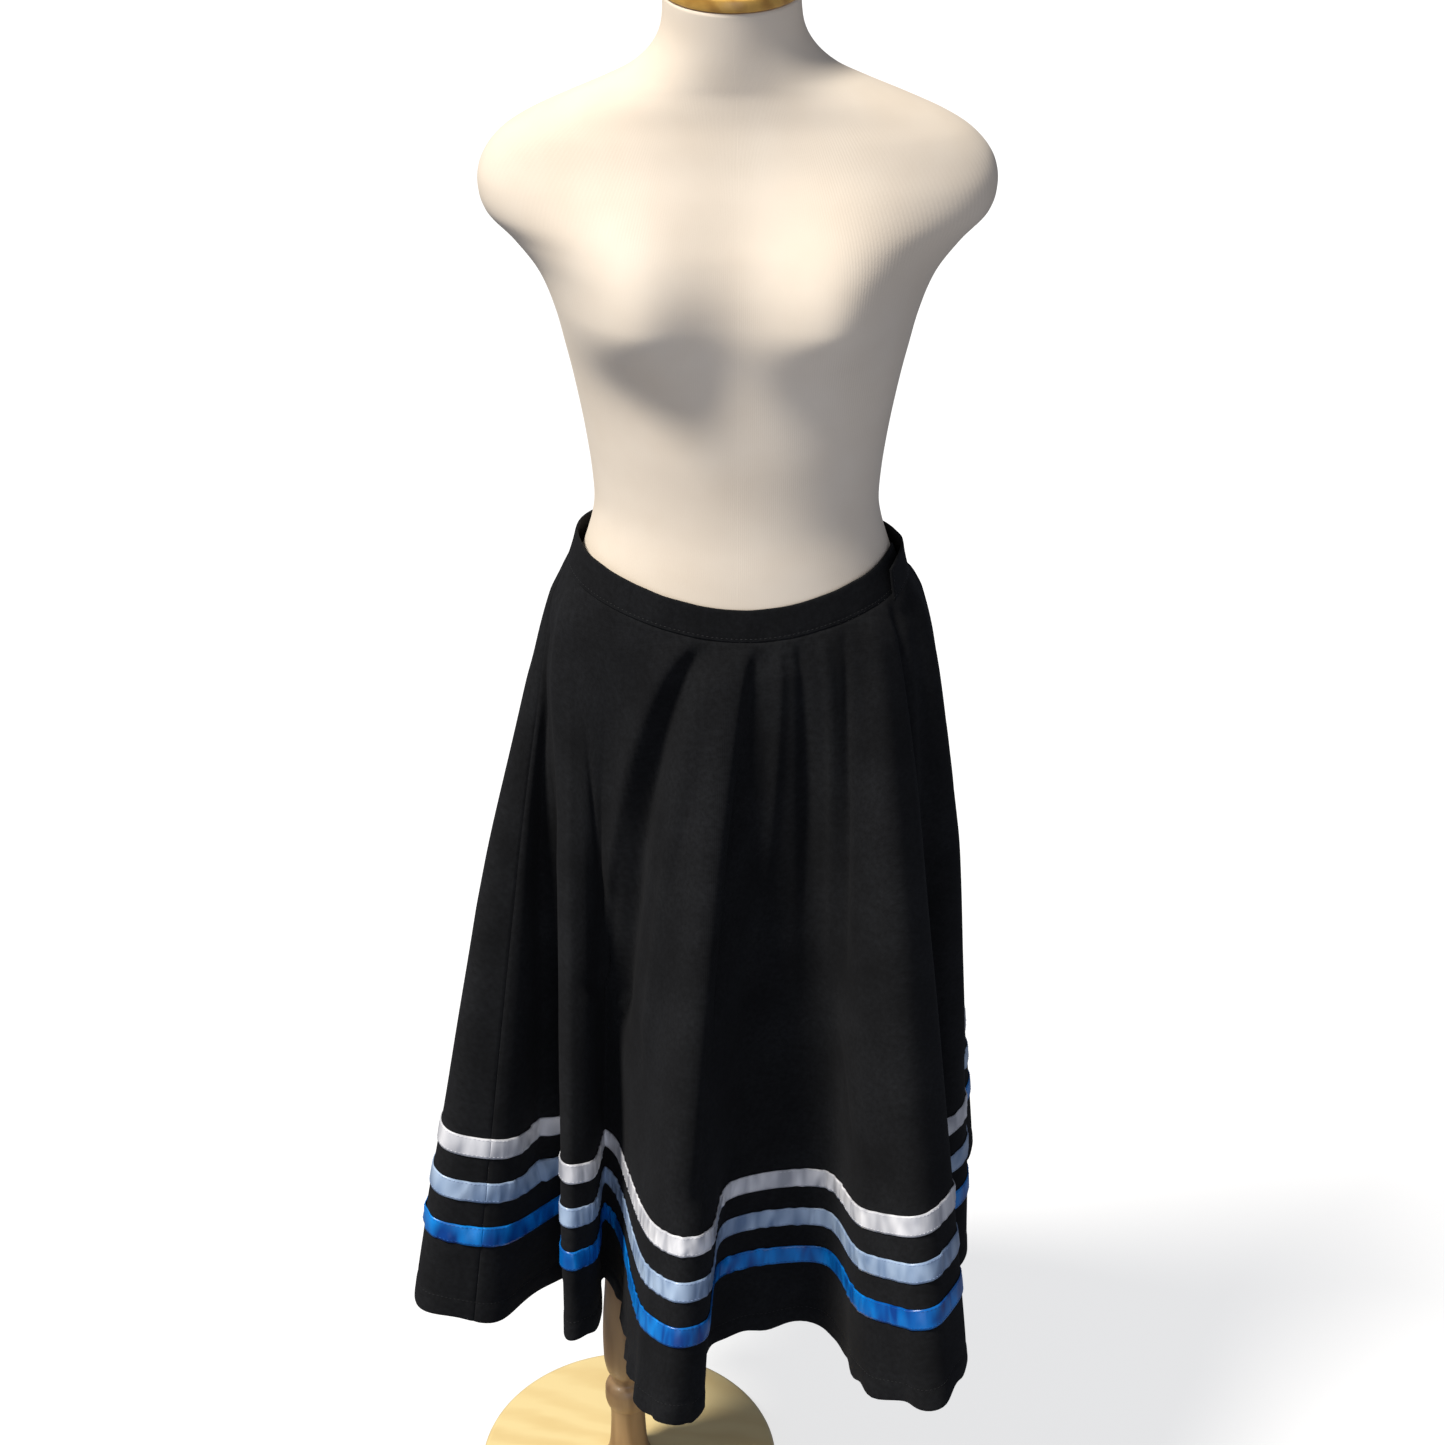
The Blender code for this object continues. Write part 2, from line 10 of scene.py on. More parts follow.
import bmesh
import bpy
import numpy as np
from mathutils import Matrix, Vector


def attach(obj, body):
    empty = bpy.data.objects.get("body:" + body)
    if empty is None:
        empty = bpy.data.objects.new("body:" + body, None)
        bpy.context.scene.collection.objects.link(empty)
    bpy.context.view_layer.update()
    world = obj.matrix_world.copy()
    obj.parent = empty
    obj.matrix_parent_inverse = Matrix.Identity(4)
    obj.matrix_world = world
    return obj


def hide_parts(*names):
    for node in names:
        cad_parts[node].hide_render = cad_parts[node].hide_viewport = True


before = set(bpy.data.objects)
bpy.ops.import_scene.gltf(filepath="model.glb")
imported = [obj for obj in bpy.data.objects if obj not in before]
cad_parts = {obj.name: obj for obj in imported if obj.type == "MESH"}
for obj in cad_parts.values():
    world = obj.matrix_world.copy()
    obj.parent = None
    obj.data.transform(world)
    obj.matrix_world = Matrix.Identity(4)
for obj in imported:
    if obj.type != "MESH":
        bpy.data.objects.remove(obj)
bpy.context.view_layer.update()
print("CAD nodes:", len(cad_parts))

# %% [markdown]
# Colours are given as sRGB hex values, the way a colour picker shows them. Blender's shaders
# work in linear light, so one function turns the one into the other.

# %% Colours


def linear(hex_colour):
    """An sRGB hex colour as linear red, green, blue and alpha."""
    parts = [int(hex_colour[i:i + 2], 16) / 255 for i in (1, 3, 5)]
    return [c / 12.92 if c <= 0.04045 else ((c + 0.055) / 1.055) ** 2.4 for c in parts] + [1.0]


# %% [markdown]
# A material is a small network of nodes. This helper adds one node, sets its values and plugs other
# nodes into it, so that each finish below reads as a short list of what feeds what.

# %% Nodes


def add_node(tree, kind, settings=None, **inputs):
    """Adds a node. An input is a value, or another node's output to plug in, and _0 is the first input."""
    node = tree.nodes.new(kind)
    for name, value in (settings or {}).items():
        setattr(node, name, value)
    for name, value in inputs.items():
        slot = int(name[1:]) if name[0] == "_" else name.replace("_", " ")
        if isinstance(value, bpy.types.NodeSocket):
            tree.links.new(value, node.inputs[slot])
        else:
            node.inputs[slot].default_value = value
    return node


def new_material(name):
    """An empty material with its output node."""
    mat = bpy.data.materials.new(name)
    mat.use_nodes = True
    mat.node_tree.nodes.clear()
    output = mat.node_tree.nodes.new("ShaderNodeOutputMaterial")
    return mat, mat.node_tree, output


# %% [markdown]
# ## The cloth's own sizes
#
# The visible cloth has to lie where the solids lie, so it is worked out from the same sizes: the
# torso's sections, the band's line and the folds along the hem. Here they are again, in metres,
# millimetres and degrees from the front, with positive angles towards the viewer's right.

# %% Sizes
FORM_X = 0.112            # torso's axis, measured from the pole
UNDERSIDE_Z = 0.800
CLOTH = 0.0012
BAND_CLOTH = 0.0020
RIBBON_CLOTH = 0.0010
GAP = 0.0003
BAND_HEIGHT = 0.028
BAND_TOP_FRONT = 1.0765
BAND_SLACK_LEFT = 0.0080
BAND_SLACK_RIGHT = 0.0020
SKIRT_LENGTH = 0.700
RIBBON_WIDTH = 0.019
RIBBON_PITCH = 0.043
RIBBON_FROM_HEM = 0.083
HEM_TURN = 0.020          # the hem is folded up inside by this much and stitched
HEM_STITCH_DROP = SKIRT_LENGTH - HEM_TURN + 0.0025
WAIST_SEAM = 0.0008
FORM_CLEARANCE = 0.0010
SEAM_LEFT_DEG = -88.0
SEAM_RIGHT_DEG = 92.0

# torso sections: height, half width, depth in front and behind, squareness (2 is an ellipse), lean
FORM_SECTIONS = np.array((
    (0.8000, 0.1520, 0.1000, 0.1120, 2.3, 0.000), (0.8060, 0.1590, 0.1070, 0.1190, 2.3, 0.000),
    (0.8200, 0.1630, 0.1110, 0.1230, 2.3, 0.000), (0.8500, 0.1655, 0.1125, 0.1265, 2.3, 0.000),
    (0.9000, 0.1690, 0.1125, 0.1290, 2.3, 0.000), (0.9500, 0.1705, 0.1115, 0.1285, 2.2, 0.000),
    (0.9900, 0.1680, 0.1100, 0.1250, 2.2, 0.000), (1.0200, 0.1620, 0.1085, 0.1200, 2.1, 0.000),
    (1.0450, 0.1535, 0.1070, 0.1150, 2.1, 0.000), (1.0700, 0.1410, 0.1050, 0.1080, 2.1, 0.000),
    (1.0950, 0.1305, 0.1020, 0.1000, 2.1, 0.000), (1.1300, 0.1215, 0.0970, 0.0920, 2.1, 0.000),
    (1.1600, 0.1220, 0.0950, 0.0900, 2.1, 0.000), (1.2000, 0.1270, 0.0950, 0.0920, 2.1, 0.000),
    (1.2400, 0.1340, 0.0945, 0.0950, 2.1, 0.000), (1.2750, 0.1410, 0.0940, 0.0990, 2.1, 0.000),
    (1.3100, 0.1490, 0.0940, 0.1030, 2.1, 0.000), (1.3400, 0.1620, 0.0930, 0.1040, 2.1, 0.000),
    (1.3650, 0.1820, 0.0890, 0.1010, 2.2, 0.000), (1.3850, 0.2015, 0.0830, 0.0960, 2.3, 0.000),
    (1.4070, 0.2075, 0.0760, 0.0890, 2.3, 0.000), (1.4280, 0.2030, 0.0690, 0.0820, 2.2, 0.000),
    (1.4470, 0.1880, 0.0630, 0.0750, 2.1, 0.001), (1.4610, 0.1670, 0.0590, 0.0700, 2.0, 0.002),
    (1.4740, 0.1380, 0.0565, 0.0660, 2.0, 0.003), (1.4860, 0.1080, 0.0550, 0.0630, 2.0, 0.004),
    (1.4970, 0.0840, 0.0540, 0.0600, 2.0, 0.006), (1.5120, 0.0660, 0.0535, 0.0560, 2.0, 0.008),
    (1.5300, 0.0560, 0.0530, 0.0535, 2.0, 0.010), (1.5560, 0.0530, 0.0530, 0.0530, 2.0, 0.012),
))

# hem folds: name, start of the crest at the band in degrees, extra length and bulge in mm, then the
# left shoulder, crest, right shoulder and following valley as (degrees, mm), and the valley's half width
HEM_FOLDS = (
    ("front", -3, 0, 6, (-16.5, 300), (-10.5, 322), (-6.5, 300), (11.0, 172), 52),
    ("right_front", 55, 8, 12, (24.0, 292), (29.5, 346), (41.0, 322), (51.0, 205), 9),
    ("right_side", 80, 0, 24, (60.0, 233), (68.0, 241), (76.0, 232), (88.0, 190), 10),
    ("rear_right", 106, 0, 22, (104.5, 246), (111.5, 262), (118.0, 252), (129.0, 200), 14),
    ("back_right", 136, 4, 14, (137.0, 284), (144.0, 302), (151.0, 286), (163.0, 200), 16),
    ("back", 176, 6, 10, (174.0, 290), (182.0, 306), (190.0, 290), (202.0, 205), 16),
    ("back_left", 213, 4, 10, (212.0, 284), (219.0, 300), (226.0, 284), (237.0, 205), 14),
    ("rear_left", 244, 6, 12, (246.0, 268), (253.0, 282), (260.0, 270), (272.0, 214), 14),
    ("left", 268, 22, 12, (295.0, 333), (302.5, 343), (308.0, 292), (303.0, 187), 10),
    ("narrow", 292, 20, 6, (316.0, 234), (321.5, 248), (323.0, 222), (309.0, 156), 10),
)

# %% [markdown]
# ## The torso's outline and the band's line
#
# Between two rows of the section table a smooth cubic fills in, and each section is a squared ellipse.
# The band follows the torso at its top edge, and stands off it a little at the hips.

# %% The torso and the band as formulas


def section_value(z, column):
    """A column of the torso's table at heights z, by a smooth cubic between its rows."""
    table = FORM_SECTIONS
    z = np.clip(np.asarray(z, float), table[0, 0], table[-1, 0])
    i = np.clip(np.searchsorted(table[:, 0], z, side="left") - 1, 0, len(table) - 2)
    before, after = np.maximum(i - 1, 0), np.minimum(i + 2, len(table) - 1)
    low, high = table[i, column], table[i + 1, column]
    span = table[i + 1, 0] - table[i, 0]
    t = (z - table[i, 0]) / span
    start = (high - table[before, column]) / (table[i + 1, 0] - table[before, 0]) * span
    end = (table[after, column] - low) / (table[after, 0] - table[i, 0]) * span
    return ((2 * t**3 - 3 * t**2 + 1) * low + (t**3 - 2 * t**2 + t) * start
            + (3 * t**2 - 2 * t**3) * high + (t**3 - t**2) * end)


def form_radius(angle, z):
    """Distance from the torso's axis to its side."""
    depth = np.where(np.cos(angle) > 0, section_value(z, 2), section_value(z, 3))
    power = section_value(z, 4)
    across = np.abs(np.sin(angle)) / section_value(z, 1)
    along = np.abs(np.cos(angle)) / depth
    return (across**power + along**power) ** (-1.0 / power)


def band_points(angle, drop, outward=0.0):
    """Points of the waistband's ring, drop metres below its top edge."""
    angle = np.asarray(angle, float)
    z = BAND_TOP_FRONT + 0.025 * np.sin(angle) ** 2 - 0.004 * np.sin(angle) - drop
    slack = np.where(np.sin(angle) < 0, BAND_SLACK_LEFT, BAND_SLACK_RIGHT)
    stand_off = slack * np.sin(angle) ** 2 * (1 - 0.25 * drop / BAND_HEIGHT)
    r = form_radius(angle, z) + BAND_CLOTH / 2 + 0.0005 + stand_off + outward
    return np.stack([FORM_X + r * np.sin(angle), -r * np.cos(angle), z], axis=-1)


RING_ANGLES = np.linspace(0, math.tau, 721)
RING_STEPS = np.linalg.norm(np.diff(band_points(RING_ANGLES, BAND_HEIGHT), axis=0), axis=1)
RING_ARC = np.concatenate([[0], np.cumsum(RING_STEPS)])
WAIST = RING_ARC[-1]


def band_share(degrees):
    """The share of the band's length at an angle, which may be below 0."""
    turns = np.floor(np.asarray(degrees, float) / 360)
    return np.interp(np.radians(degrees) - turns * math.tau, RING_ANGLES, RING_ARC) / WAIST + turns


def band_angle(share):
    """The angle at a share of the band's length."""
    return np.interp(np.mod(share, 1.0) * WAIST, RING_ARC, RING_ANGLES)


print("waistband", round(WAIST * 1000), "mm round")

# %% [markdown]
# ## The hem's line
#
# Seen from above, the hem of a flared skirt swings in and out in soft folds. The corner points of the
# fold table are joined by a closed spline that keeps its curves tight and never loops.

# %% The hem as a curve


def hem_corners():
    """The hem's corner points round the torso's axis, and the place of each crest among them."""
    points, crests = [], []
    for *_, left, crest, right, valley, half in HEM_FOLDS:
        crests.append(len(points) + 1)
        for degrees, reach in (left, crest, right):
            a = math.radians(degrees)
            points.append((math.sin(a) * reach / 1000, -math.cos(a) * reach / 1000))
        a = math.radians(valley[0])
        middle = np.array((math.sin(a), -math.cos(a))) * valley[1] / 1000
        along = np.array((math.cos(a), math.sin(a))) * half / 1000
        points += [tuple(middle - along), tuple(middle + along)]
    return np.array(points), crests


def smooth_loop(points, per_span):
    """A closed centripetal spline through the points."""
    p0, p1, p2, p3 = (np.roll(points, -k, axis=0)[:, None] for k in (-1, 0, 1, 2))
    t1 = np.sqrt(np.linalg.norm(p1 - p0, axis=2, keepdims=True))
    t2 = t1 + np.sqrt(np.linalg.norm(p2 - p1, axis=2, keepdims=True))
    t3 = t2 + np.sqrt(np.linalg.norm(p3 - p2, axis=2, keepdims=True))
    t = t1 + (t2 - t1) * np.arange(per_span)[None, :, None] / per_span
    a1 = p0 * (t1 - t) / t1 + p1 * t / t1
    a2 = p1 * (t2 - t) / (t2 - t1) + p2 * (t - t1) / (t2 - t1)
    a3 = p2 * (t3 - t) / (t3 - t2) + p3 * (t - t2) / (t3 - t2)
    b1 = a1 * (t2 - t) / t2 + a2 * t / t2
    b2 = a2 * (t3 - t) / (t3 - t1) + a3 * (t - t1) / (t3 - t1)
    return (b1 * (t2 - t) / (t2 - t1) + b2 * (t - t1) / (t2 - t1)).reshape(-1, 2)


SPAN_STEPS = 16
corners, crest_places = hem_corners()
HEM_LOOP = smooth_loop(corners, SPAN_STEPS)
HEM_LOOP = np.vstack([HEM_LOOP, HEM_LOOP[:1]])
HEM_ARC = np.concatenate([[0], np.cumsum(np.linalg.norm(np.diff(HEM_LOOP, axis=0), axis=1))])
HEM = HEM_ARC[-1]
CRESTS = np.array([(band_share(fold[1]), HEM_ARC[place * SPAN_STEPS] / HEM, fold[2] / 1000, fold[3] / 1000)
                   for fold, place in zip(HEM_FOLDS, crest_places)])
CRESTS = np.vstack([CRESTS, CRESTS[0] + (1.0, 1.0, 0.0, 0.0)])
print("hem", round(HEM, 3), "m round; a half circle of this length would have",
      round(WAIST + math.pi * SKIRT_LENGTH, 3))

# %% [markdown]
# ## How the cloth hangs
#
# Each thread of the cloth runs straight from the band to its own place on the hem, bulges a little
# over the hip, and is pushed out wherever the torso is in its way. The creases then go on top.

# %% The hanging cloth


def under_band(share):
    """At a share of the band: the hem's share, the cloth's extra length and its bulge."""
    place = np.mod(share - CRESTS[0, 0], 1.0) + CRESTS[0, 0]
    i = np.clip(np.searchsorted(CRESTS[:, 0], place, side="left") - 1, 0, len(CRESTS) - 2)
    part = (place - CRESTS[i, 0]) / (CRESTS[i + 1, 0] - CRESTS[i, 0])
    ease = part * part * (3 - 2 * part)

    def between(column, t):
        return CRESTS[i, column] + (CRESTS[i + 1, column] - CRESTS[i, column]) * t

    return between(1, part), between(2, ease), between(3, ease)


def hem_at(share):
    """The hem's place seen from above, measured from the torso's axis, under a share of the band."""
    place = np.mod(under_band(share)[0], 1.0) * HEM
    return np.stack([np.interp(place, HEM_ARC, HEM_LOOP[:, k]) for k in (0, 1)], axis=-1)


def keep_outside(x, y, z, drop, spare):
    """Pushes points out of the torso, softly, and leaves them alone below its underside."""
    r, a = np.hypot(x - FORM_X, y), np.arctan2(x - FORM_X, -y)
    wall = form_radius(a, z) + spare
    soft = 0.010 * np.clip(drop / 0.030, 0.02, 1.0)
    pushed = 0.5 * (r + wall + np.sqrt((r - wall) ** 2 + soft**2))
    fade = np.clip((z - (UNDERSIDE_Z - 0.03)) / 0.06, 0, 1)
    r = r + (pushed - r) * fade * fade * (3 - 2 * fade)
    return FORM_X + r * np.sin(a), -r * np.cos(a)


def smooth_cloth(share, drop):
    """Points of the cloth before its creases, at shares of the band and metres down from it."""
    share, drop = np.broadcast_arrays(np.asarray(share, float), np.asarray(drop, float))
    top = band_points(band_angle(share), BAND_HEIGHT + WAIST_SEAM)
    hem = hem_at(share) + (FORM_X, 0.0)
    _, longer, bulge = under_band(share)
    reach = np.linalg.norm(hem - top[..., :2], axis=-1)
    fall = np.sqrt((SKIRT_LENGTH + longer) ** 2 - reach**2)
    down = drop / SKIRT_LENGTH
    x = top[..., 0] + (hem[..., 0] - top[..., 0]) * down - FORM_X
    y = top[..., 1] + (hem[..., 1] - top[..., 1]) * down
    z = top[..., 2] - fall * down
    r = np.hypot(x, y) + bulge * np.sin(math.pi * np.clip(down, 0, 1) ** 0.6)
    a = np.arctan2(x, -y)
    x, y = keep_outside(FORM_X + r * np.sin(a), -r * np.cos(a), z, drop, CLOTH / 2 + FORM_CLEARANCE)
    return np.stack([x, y, z], axis=-1)


def outward(points_at, share, drop, step=0.002):
    """Unit normals of a surface given as a formula of share and drop."""
    around = points_at(share + step / 3, drop) - points_at(share - step / 3, drop)
    down = points_at(share, drop + step) - points_at(share, drop - step)
    lean = np.cross(down, around)
    return lean / np.linalg.norm(lean, axis=-1, keepdims=True)


# %% [markdown]
# ## The creases
#
# Besides its big folds, cloth that hangs from a curved waist shows long shallow creases where it is
# cramped at the band and drag lines across the fold beside them. Each one here is a line on the flat
# cut, from the band down, with its own widths and depths: a ridge stands out and a trough sinks in.
# The cut is a half circle, so a distance on it is a true distance along the cloth.

# %% Creases
# start, middle and end as (degrees at the band, metres down); width to the left and to the right at
# the start and the end, mm; height at start, middle and end, mm, with troughs below 0
CREASES = (
    # name               start         middle        end            left      right     heights
    ("recess",           (-15, 0.006), (-33, 0.120), (-45, 0.360), (6, 9), (14, 30), (-5, -15, -13)),
    ("recess_edge",      (-19, 0.006), (-38, 0.115), (-50, 0.340), (16, 20), (4, 6), (3, 8, 6)),
    ("front_left_edge",  (-8, 0.010),  (-17, 0.120), (-26, 0.360), (10, 14), (20, 28), (2, 5, 4)),
    ("narrow_ridge",     (-74, 0.020), (-72, 0.250), (-68, 0.640), (9, 9), (16, 12), (4, 7, 3)),
    ("narrow_hollow",    (-84, 0.060), (-80, 0.280), (-80, 0.560), (20, 24), (8, 8),  (-4, -15, -10)),
    ("left_ridge",       (-95, 0.120), (-93, 0.320), (-92, 0.600), (24, 26), (16, 16), (2, 6, 3)),
    ("front_ridge",      (4, 0.008),   (-2, 0.150),  (-5, 0.460),  (20, 30), (5, 20), (3, 8, 5)),
    ("front_hollow",     (9, 0.008),   (5, 0.160),   (1, 0.480),   (5, 20), (12, 34), (-3, -11, -8)),
    ("small_ridge",      (18, 0.006),  (20, 0.110),  (19, 0.300),  (5, 9), (4, 8), (2, 4, 2)),
    ("small_hollow",     (26, 0.006),  (29, 0.140),  (30, 0.360),  (4, 8), (5, 11), (-3, -8, -3)),
    ("right_ridge",      (35, 0.006),  (36, 0.130),  (34, 0.360),  (6, 10), (7, 12), (3, 5, 2)),
    ("right_hollow",     (44, 0.006),  (42, 0.130),  (40, 0.300),  (5, 9), (4, 8), (-2, -5, -2)),
    ("right_panel",      (55, 0.008),  (54, 0.180),  (54, 0.420),  (10, 22), (12, 20), (3, 6, 3)),
    ("right_corner",     (55, 0.400),  (55, 0.560),  (55, 0.700),  (20, 15), (20, 15), (0, 7, 8)),
    ("right_line",       (66, 0.010),  (68, 0.200),  (72, 0.480),  (5, 8), (6, 12), (-4, -9, -6)),
    ("right_edge",       (80, 0.030),  (80, 0.240),  (80, 0.460),  (12, 14), (14, 16), (2, 4, 2)),
    ("kink",             (-68, 0.345), (-60, 0.352), (-52, 0.340), (6, 5), (7, 6), (0, -3.5, 0)),
    ("kink_roll",        (-66, 0.362), (-59, 0.368), (-53, 0.358), (6, 5), (6, 6), (0, 2.5, 0)),
    ("drag_a",           (36, 0.340),  (40, 0.420),  (46, 0.500),  (6, 5), (6, 5), (0, -2.2, 0)),
    ("drag_b",           (43, 0.380),  (47, 0.440),  (52, 0.520),  (5, 5), (6, 6), (0, -2.4, 0)),
    ("drag_c",           (50, 0.330),  (53, 0.400),  (60, 0.470),  (5, 5), (6, 5), (0, -1.8, 0)),
    ("drag_d",           (-2, 0.250),  (3, 0.310),   (6, 0.390),   (5, 5), (6, 6), (0, -2.0, 0)),
    ("drag_e",           (-62, 0.100), (-57, 0.180), (-52, 0.270), (7, 6), (8, 8), (0, -2.5, 0)),
    ("drag_f",           (-10, 0.100), (-14, 0.170), (-20, 0.260), (7, 7), (7, 7), (0, -2.0, 0)),
    ("back_a_ridge",     (100, 0.008), (104, 0.190), (106, 0.450), (7, 20), (6, 16), (3, 6, 3)),
    ("back_a_hollow",    (112, 0.008), (118, 0.200), (121, 0.420), (5, 12), (7, 16), (-3, -7, -4)),
    ("back_b_ridge",     (128, 0.008), (133, 0.160), (136, 0.380), (6, 16), (7, 18), (3, 6, 2)),
    ("back_b_hollow",    (143, 0.008), (149, 0.200), (154, 0.460), (5, 14), (6, 14), (-3, -7, -4)),
    ("back_c_ridge",     (160, 0.008), (168, 0.230), (175, 0.500), (8, 18), (6, 14), (3, 6, 3)),
    ("back_c_hollow",    (178, 0.008), (187, 0.150), (194, 0.330), (4, 12), (6, 15), (-3, -6, -3)),
    ("back_d_ridge",     (192, 0.008), (203, 0.190), (211, 0.430), (6, 16), (7, 18), (3, 6, 3)),
    ("back_d_hollow",    (209, 0.008), (219, 0.220), (226, 0.470), (5, 12), (6, 15), (-3, -7, -4)),
    ("back_e_ridge",     (226, 0.008), (236, 0.170), (243, 0.400), (6, 16), (6, 16), (3, 6, 3)),
    ("back_e_hollow",    (240, 0.008), (250, 0.200), (257, 0.450), (5, 12), (6, 14), (-2, -6, -4)),
    ("back_drag_a",      (165, 0.300), (158, 0.380), (150, 0.470), (6, 5), (6, 6), (0, -2.2, 0)),
    ("back_drag_b",      (215, 0.330), (207, 0.400), (201, 0.480), (6, 5), (6, 6), (0, -2.2, 0)),
)


def on_the_cut(share, drop):
    """A place on the flat half circle, in metres."""
    reach, turn = WAIST / math.pi + drop, share * math.pi
    return np.stack([reach * np.sin(turn), -reach * np.cos(turn)], axis=-1)


MAP_COLUMNS, MAP_ROWS = 2600, 281     # 2.5 mm from row to row, and 1.2 mm from column to column at the hem
map_drops = np.linspace(0, SKIRT_LENGTH, MAP_ROWS)
crease_map = np.zeros((MAP_ROWS, MAP_COLUMNS))


def draw_crease(start, middle, end, left, right, heights):
    """Adds one crease to the map, over the part of the cut that it reaches."""
    t = np.linspace(0, 1, 13)[:, None]
    knots = np.array([(float(band_share(d)), m) for d, m in (start, middle, end)])
    line = (1 - t) * (1 - 2 * t) * knots[0] + 4 * t * (1 - t) * knots[1] + t * (2 * t - 1) * knots[2]
    reach = 3 * max(left + right) / 1000
    spare = reach / (WAIST + math.pi * line[:, 1].min())
    columns = np.arange(math.floor((line[:, 0].min() - spare) * MAP_COLUMNS),
                        math.ceil((line[:, 0].max() + spare) * MAP_COLUMNS) + 1)
    rows = np.flatnonzero((map_drops > line[:, 1].min() - reach) & (map_drops < line[:, 1].max() + reach))
    place = on_the_cut(columns[None, :] / MAP_COLUMNS, map_drops[rows][:, None])
    spots = on_the_cut(line[:, 0], line[:, 1])
    best, height = np.full(place.shape[:2], 9.0), np.zeros(place.shape[:2])
    for k, (spot, along) in enumerate(zip(spots, np.diff(spots, axis=0))):
        part = np.clip(((place - spot) @ along) / (along @ along), 0, 1)
        away = place - spot - part[..., None] * along
        far = np.linalg.norm(away, axis=-1)
        at = (k + part) / (len(spots) - 1)
        to_the_right = along[0] * away[..., 1] - along[1] * away[..., 0] > 0
        widths = np.where(to_the_right, np.interp(at, (0, 1), right), np.interp(at, (0, 1), left)) / 1000
        tall = np.interp(at, (0, 0.5, 1), heights) / 1000
        height = np.where(far < best, tall * np.exp(-(far / widths) ** 2), height)
        best = np.minimum(best, far)
    crease_map[np.ix_(rows, columns % MAP_COLUMNS)] += height


for name, *crease in CREASES:
    draw_crease(*crease)
print("creases:", len(CREASES), "from", round(crease_map.min() * 1000, 1),
      "to", round(crease_map.max() * 1000, 1), "mm")


def crease_height(share, drop):
    """The map's height at a place, from the four map points round it."""
    x, y = np.mod(share, 1.0) * MAP_COLUMNS, np.clip(drop / SKIRT_LENGTH, 0, 1) * (MAP_ROWS - 1)
    i, j = np.minimum(np.floor(y).astype(int), MAP_ROWS - 2), np.floor(x).astype(int)
    u, v, left, right = x - j, y - i, j % MAP_COLUMNS, (j + 1) % MAP_COLUMNS
    above = (1 - u) * crease_map[i, left] + u * crease_map[i, right]
    below = (1 - u) * crease_map[i + 1, left] + u * crease_map[i + 1, right]
    return (1 - v) * above + v * below


def uneven(place, lengths, seed):
    """Soft irregular swell of about 1 high along a place in metres, from waves of several lengths."""
    total = 0.0
    for k, length in enumerate(lengths):
        total = total + np.sin(math.tau * place / length + seed * 1.7 + 2.4 * k) / (1 + 0.5 * k)
    return total / sum(1 / (1 + 0.5 * k) for k in range(len(lengths)))


SEAMS = [float(band_share(degrees)) for degrees in (SEAM_LEFT_DEG, SEAM_RIGHT_DEG)]
SEAM_ROLL, SEAM_GROOVE, GROOVE_UNDER_RIBBON = 0.0004, 0.0009, 0.0004
RIPPLE, SWELL, HEM_WAVER = 0.0030, 0.0009, 0.0025
SCALLOP_OUT, SCALLOP_DOWN = 0.0038, 0.0042
CALM_HEM = float(band_share(-80))     # the narrow folds at the left hang without scallops


def side_seam(share, drop, groove):
    """A sewn seam: a fine groove between two low rolls, where the allowances lie behind the cloth."""
    total = 0.0
    for seam in SEAMS:
        away = (np.mod(share - seam + 0.5, 1.0) - 0.5) * (WAIST + math.pi * drop)
        total = total + SEAM_ROLL * np.exp(-(away / 0.0085) ** 2) - groove * np.exp(-(away / 0.0017) ** 2)
    return total


def hem_seam(along, drop):
    """The hem's row of stitches draws the cloth in, and its turned edge shows through as a low step."""
    row = drop - HEM_STITCH_DROP
    draw = 0.0005 * (1 + 0.8 * uneven(along, (0.023, 0.037), 6)) * np.exp(-(row / 0.0026) ** 2)
    return 0.0005 * np.clip(row / 0.004 + 0.5, 0, 1) - draw


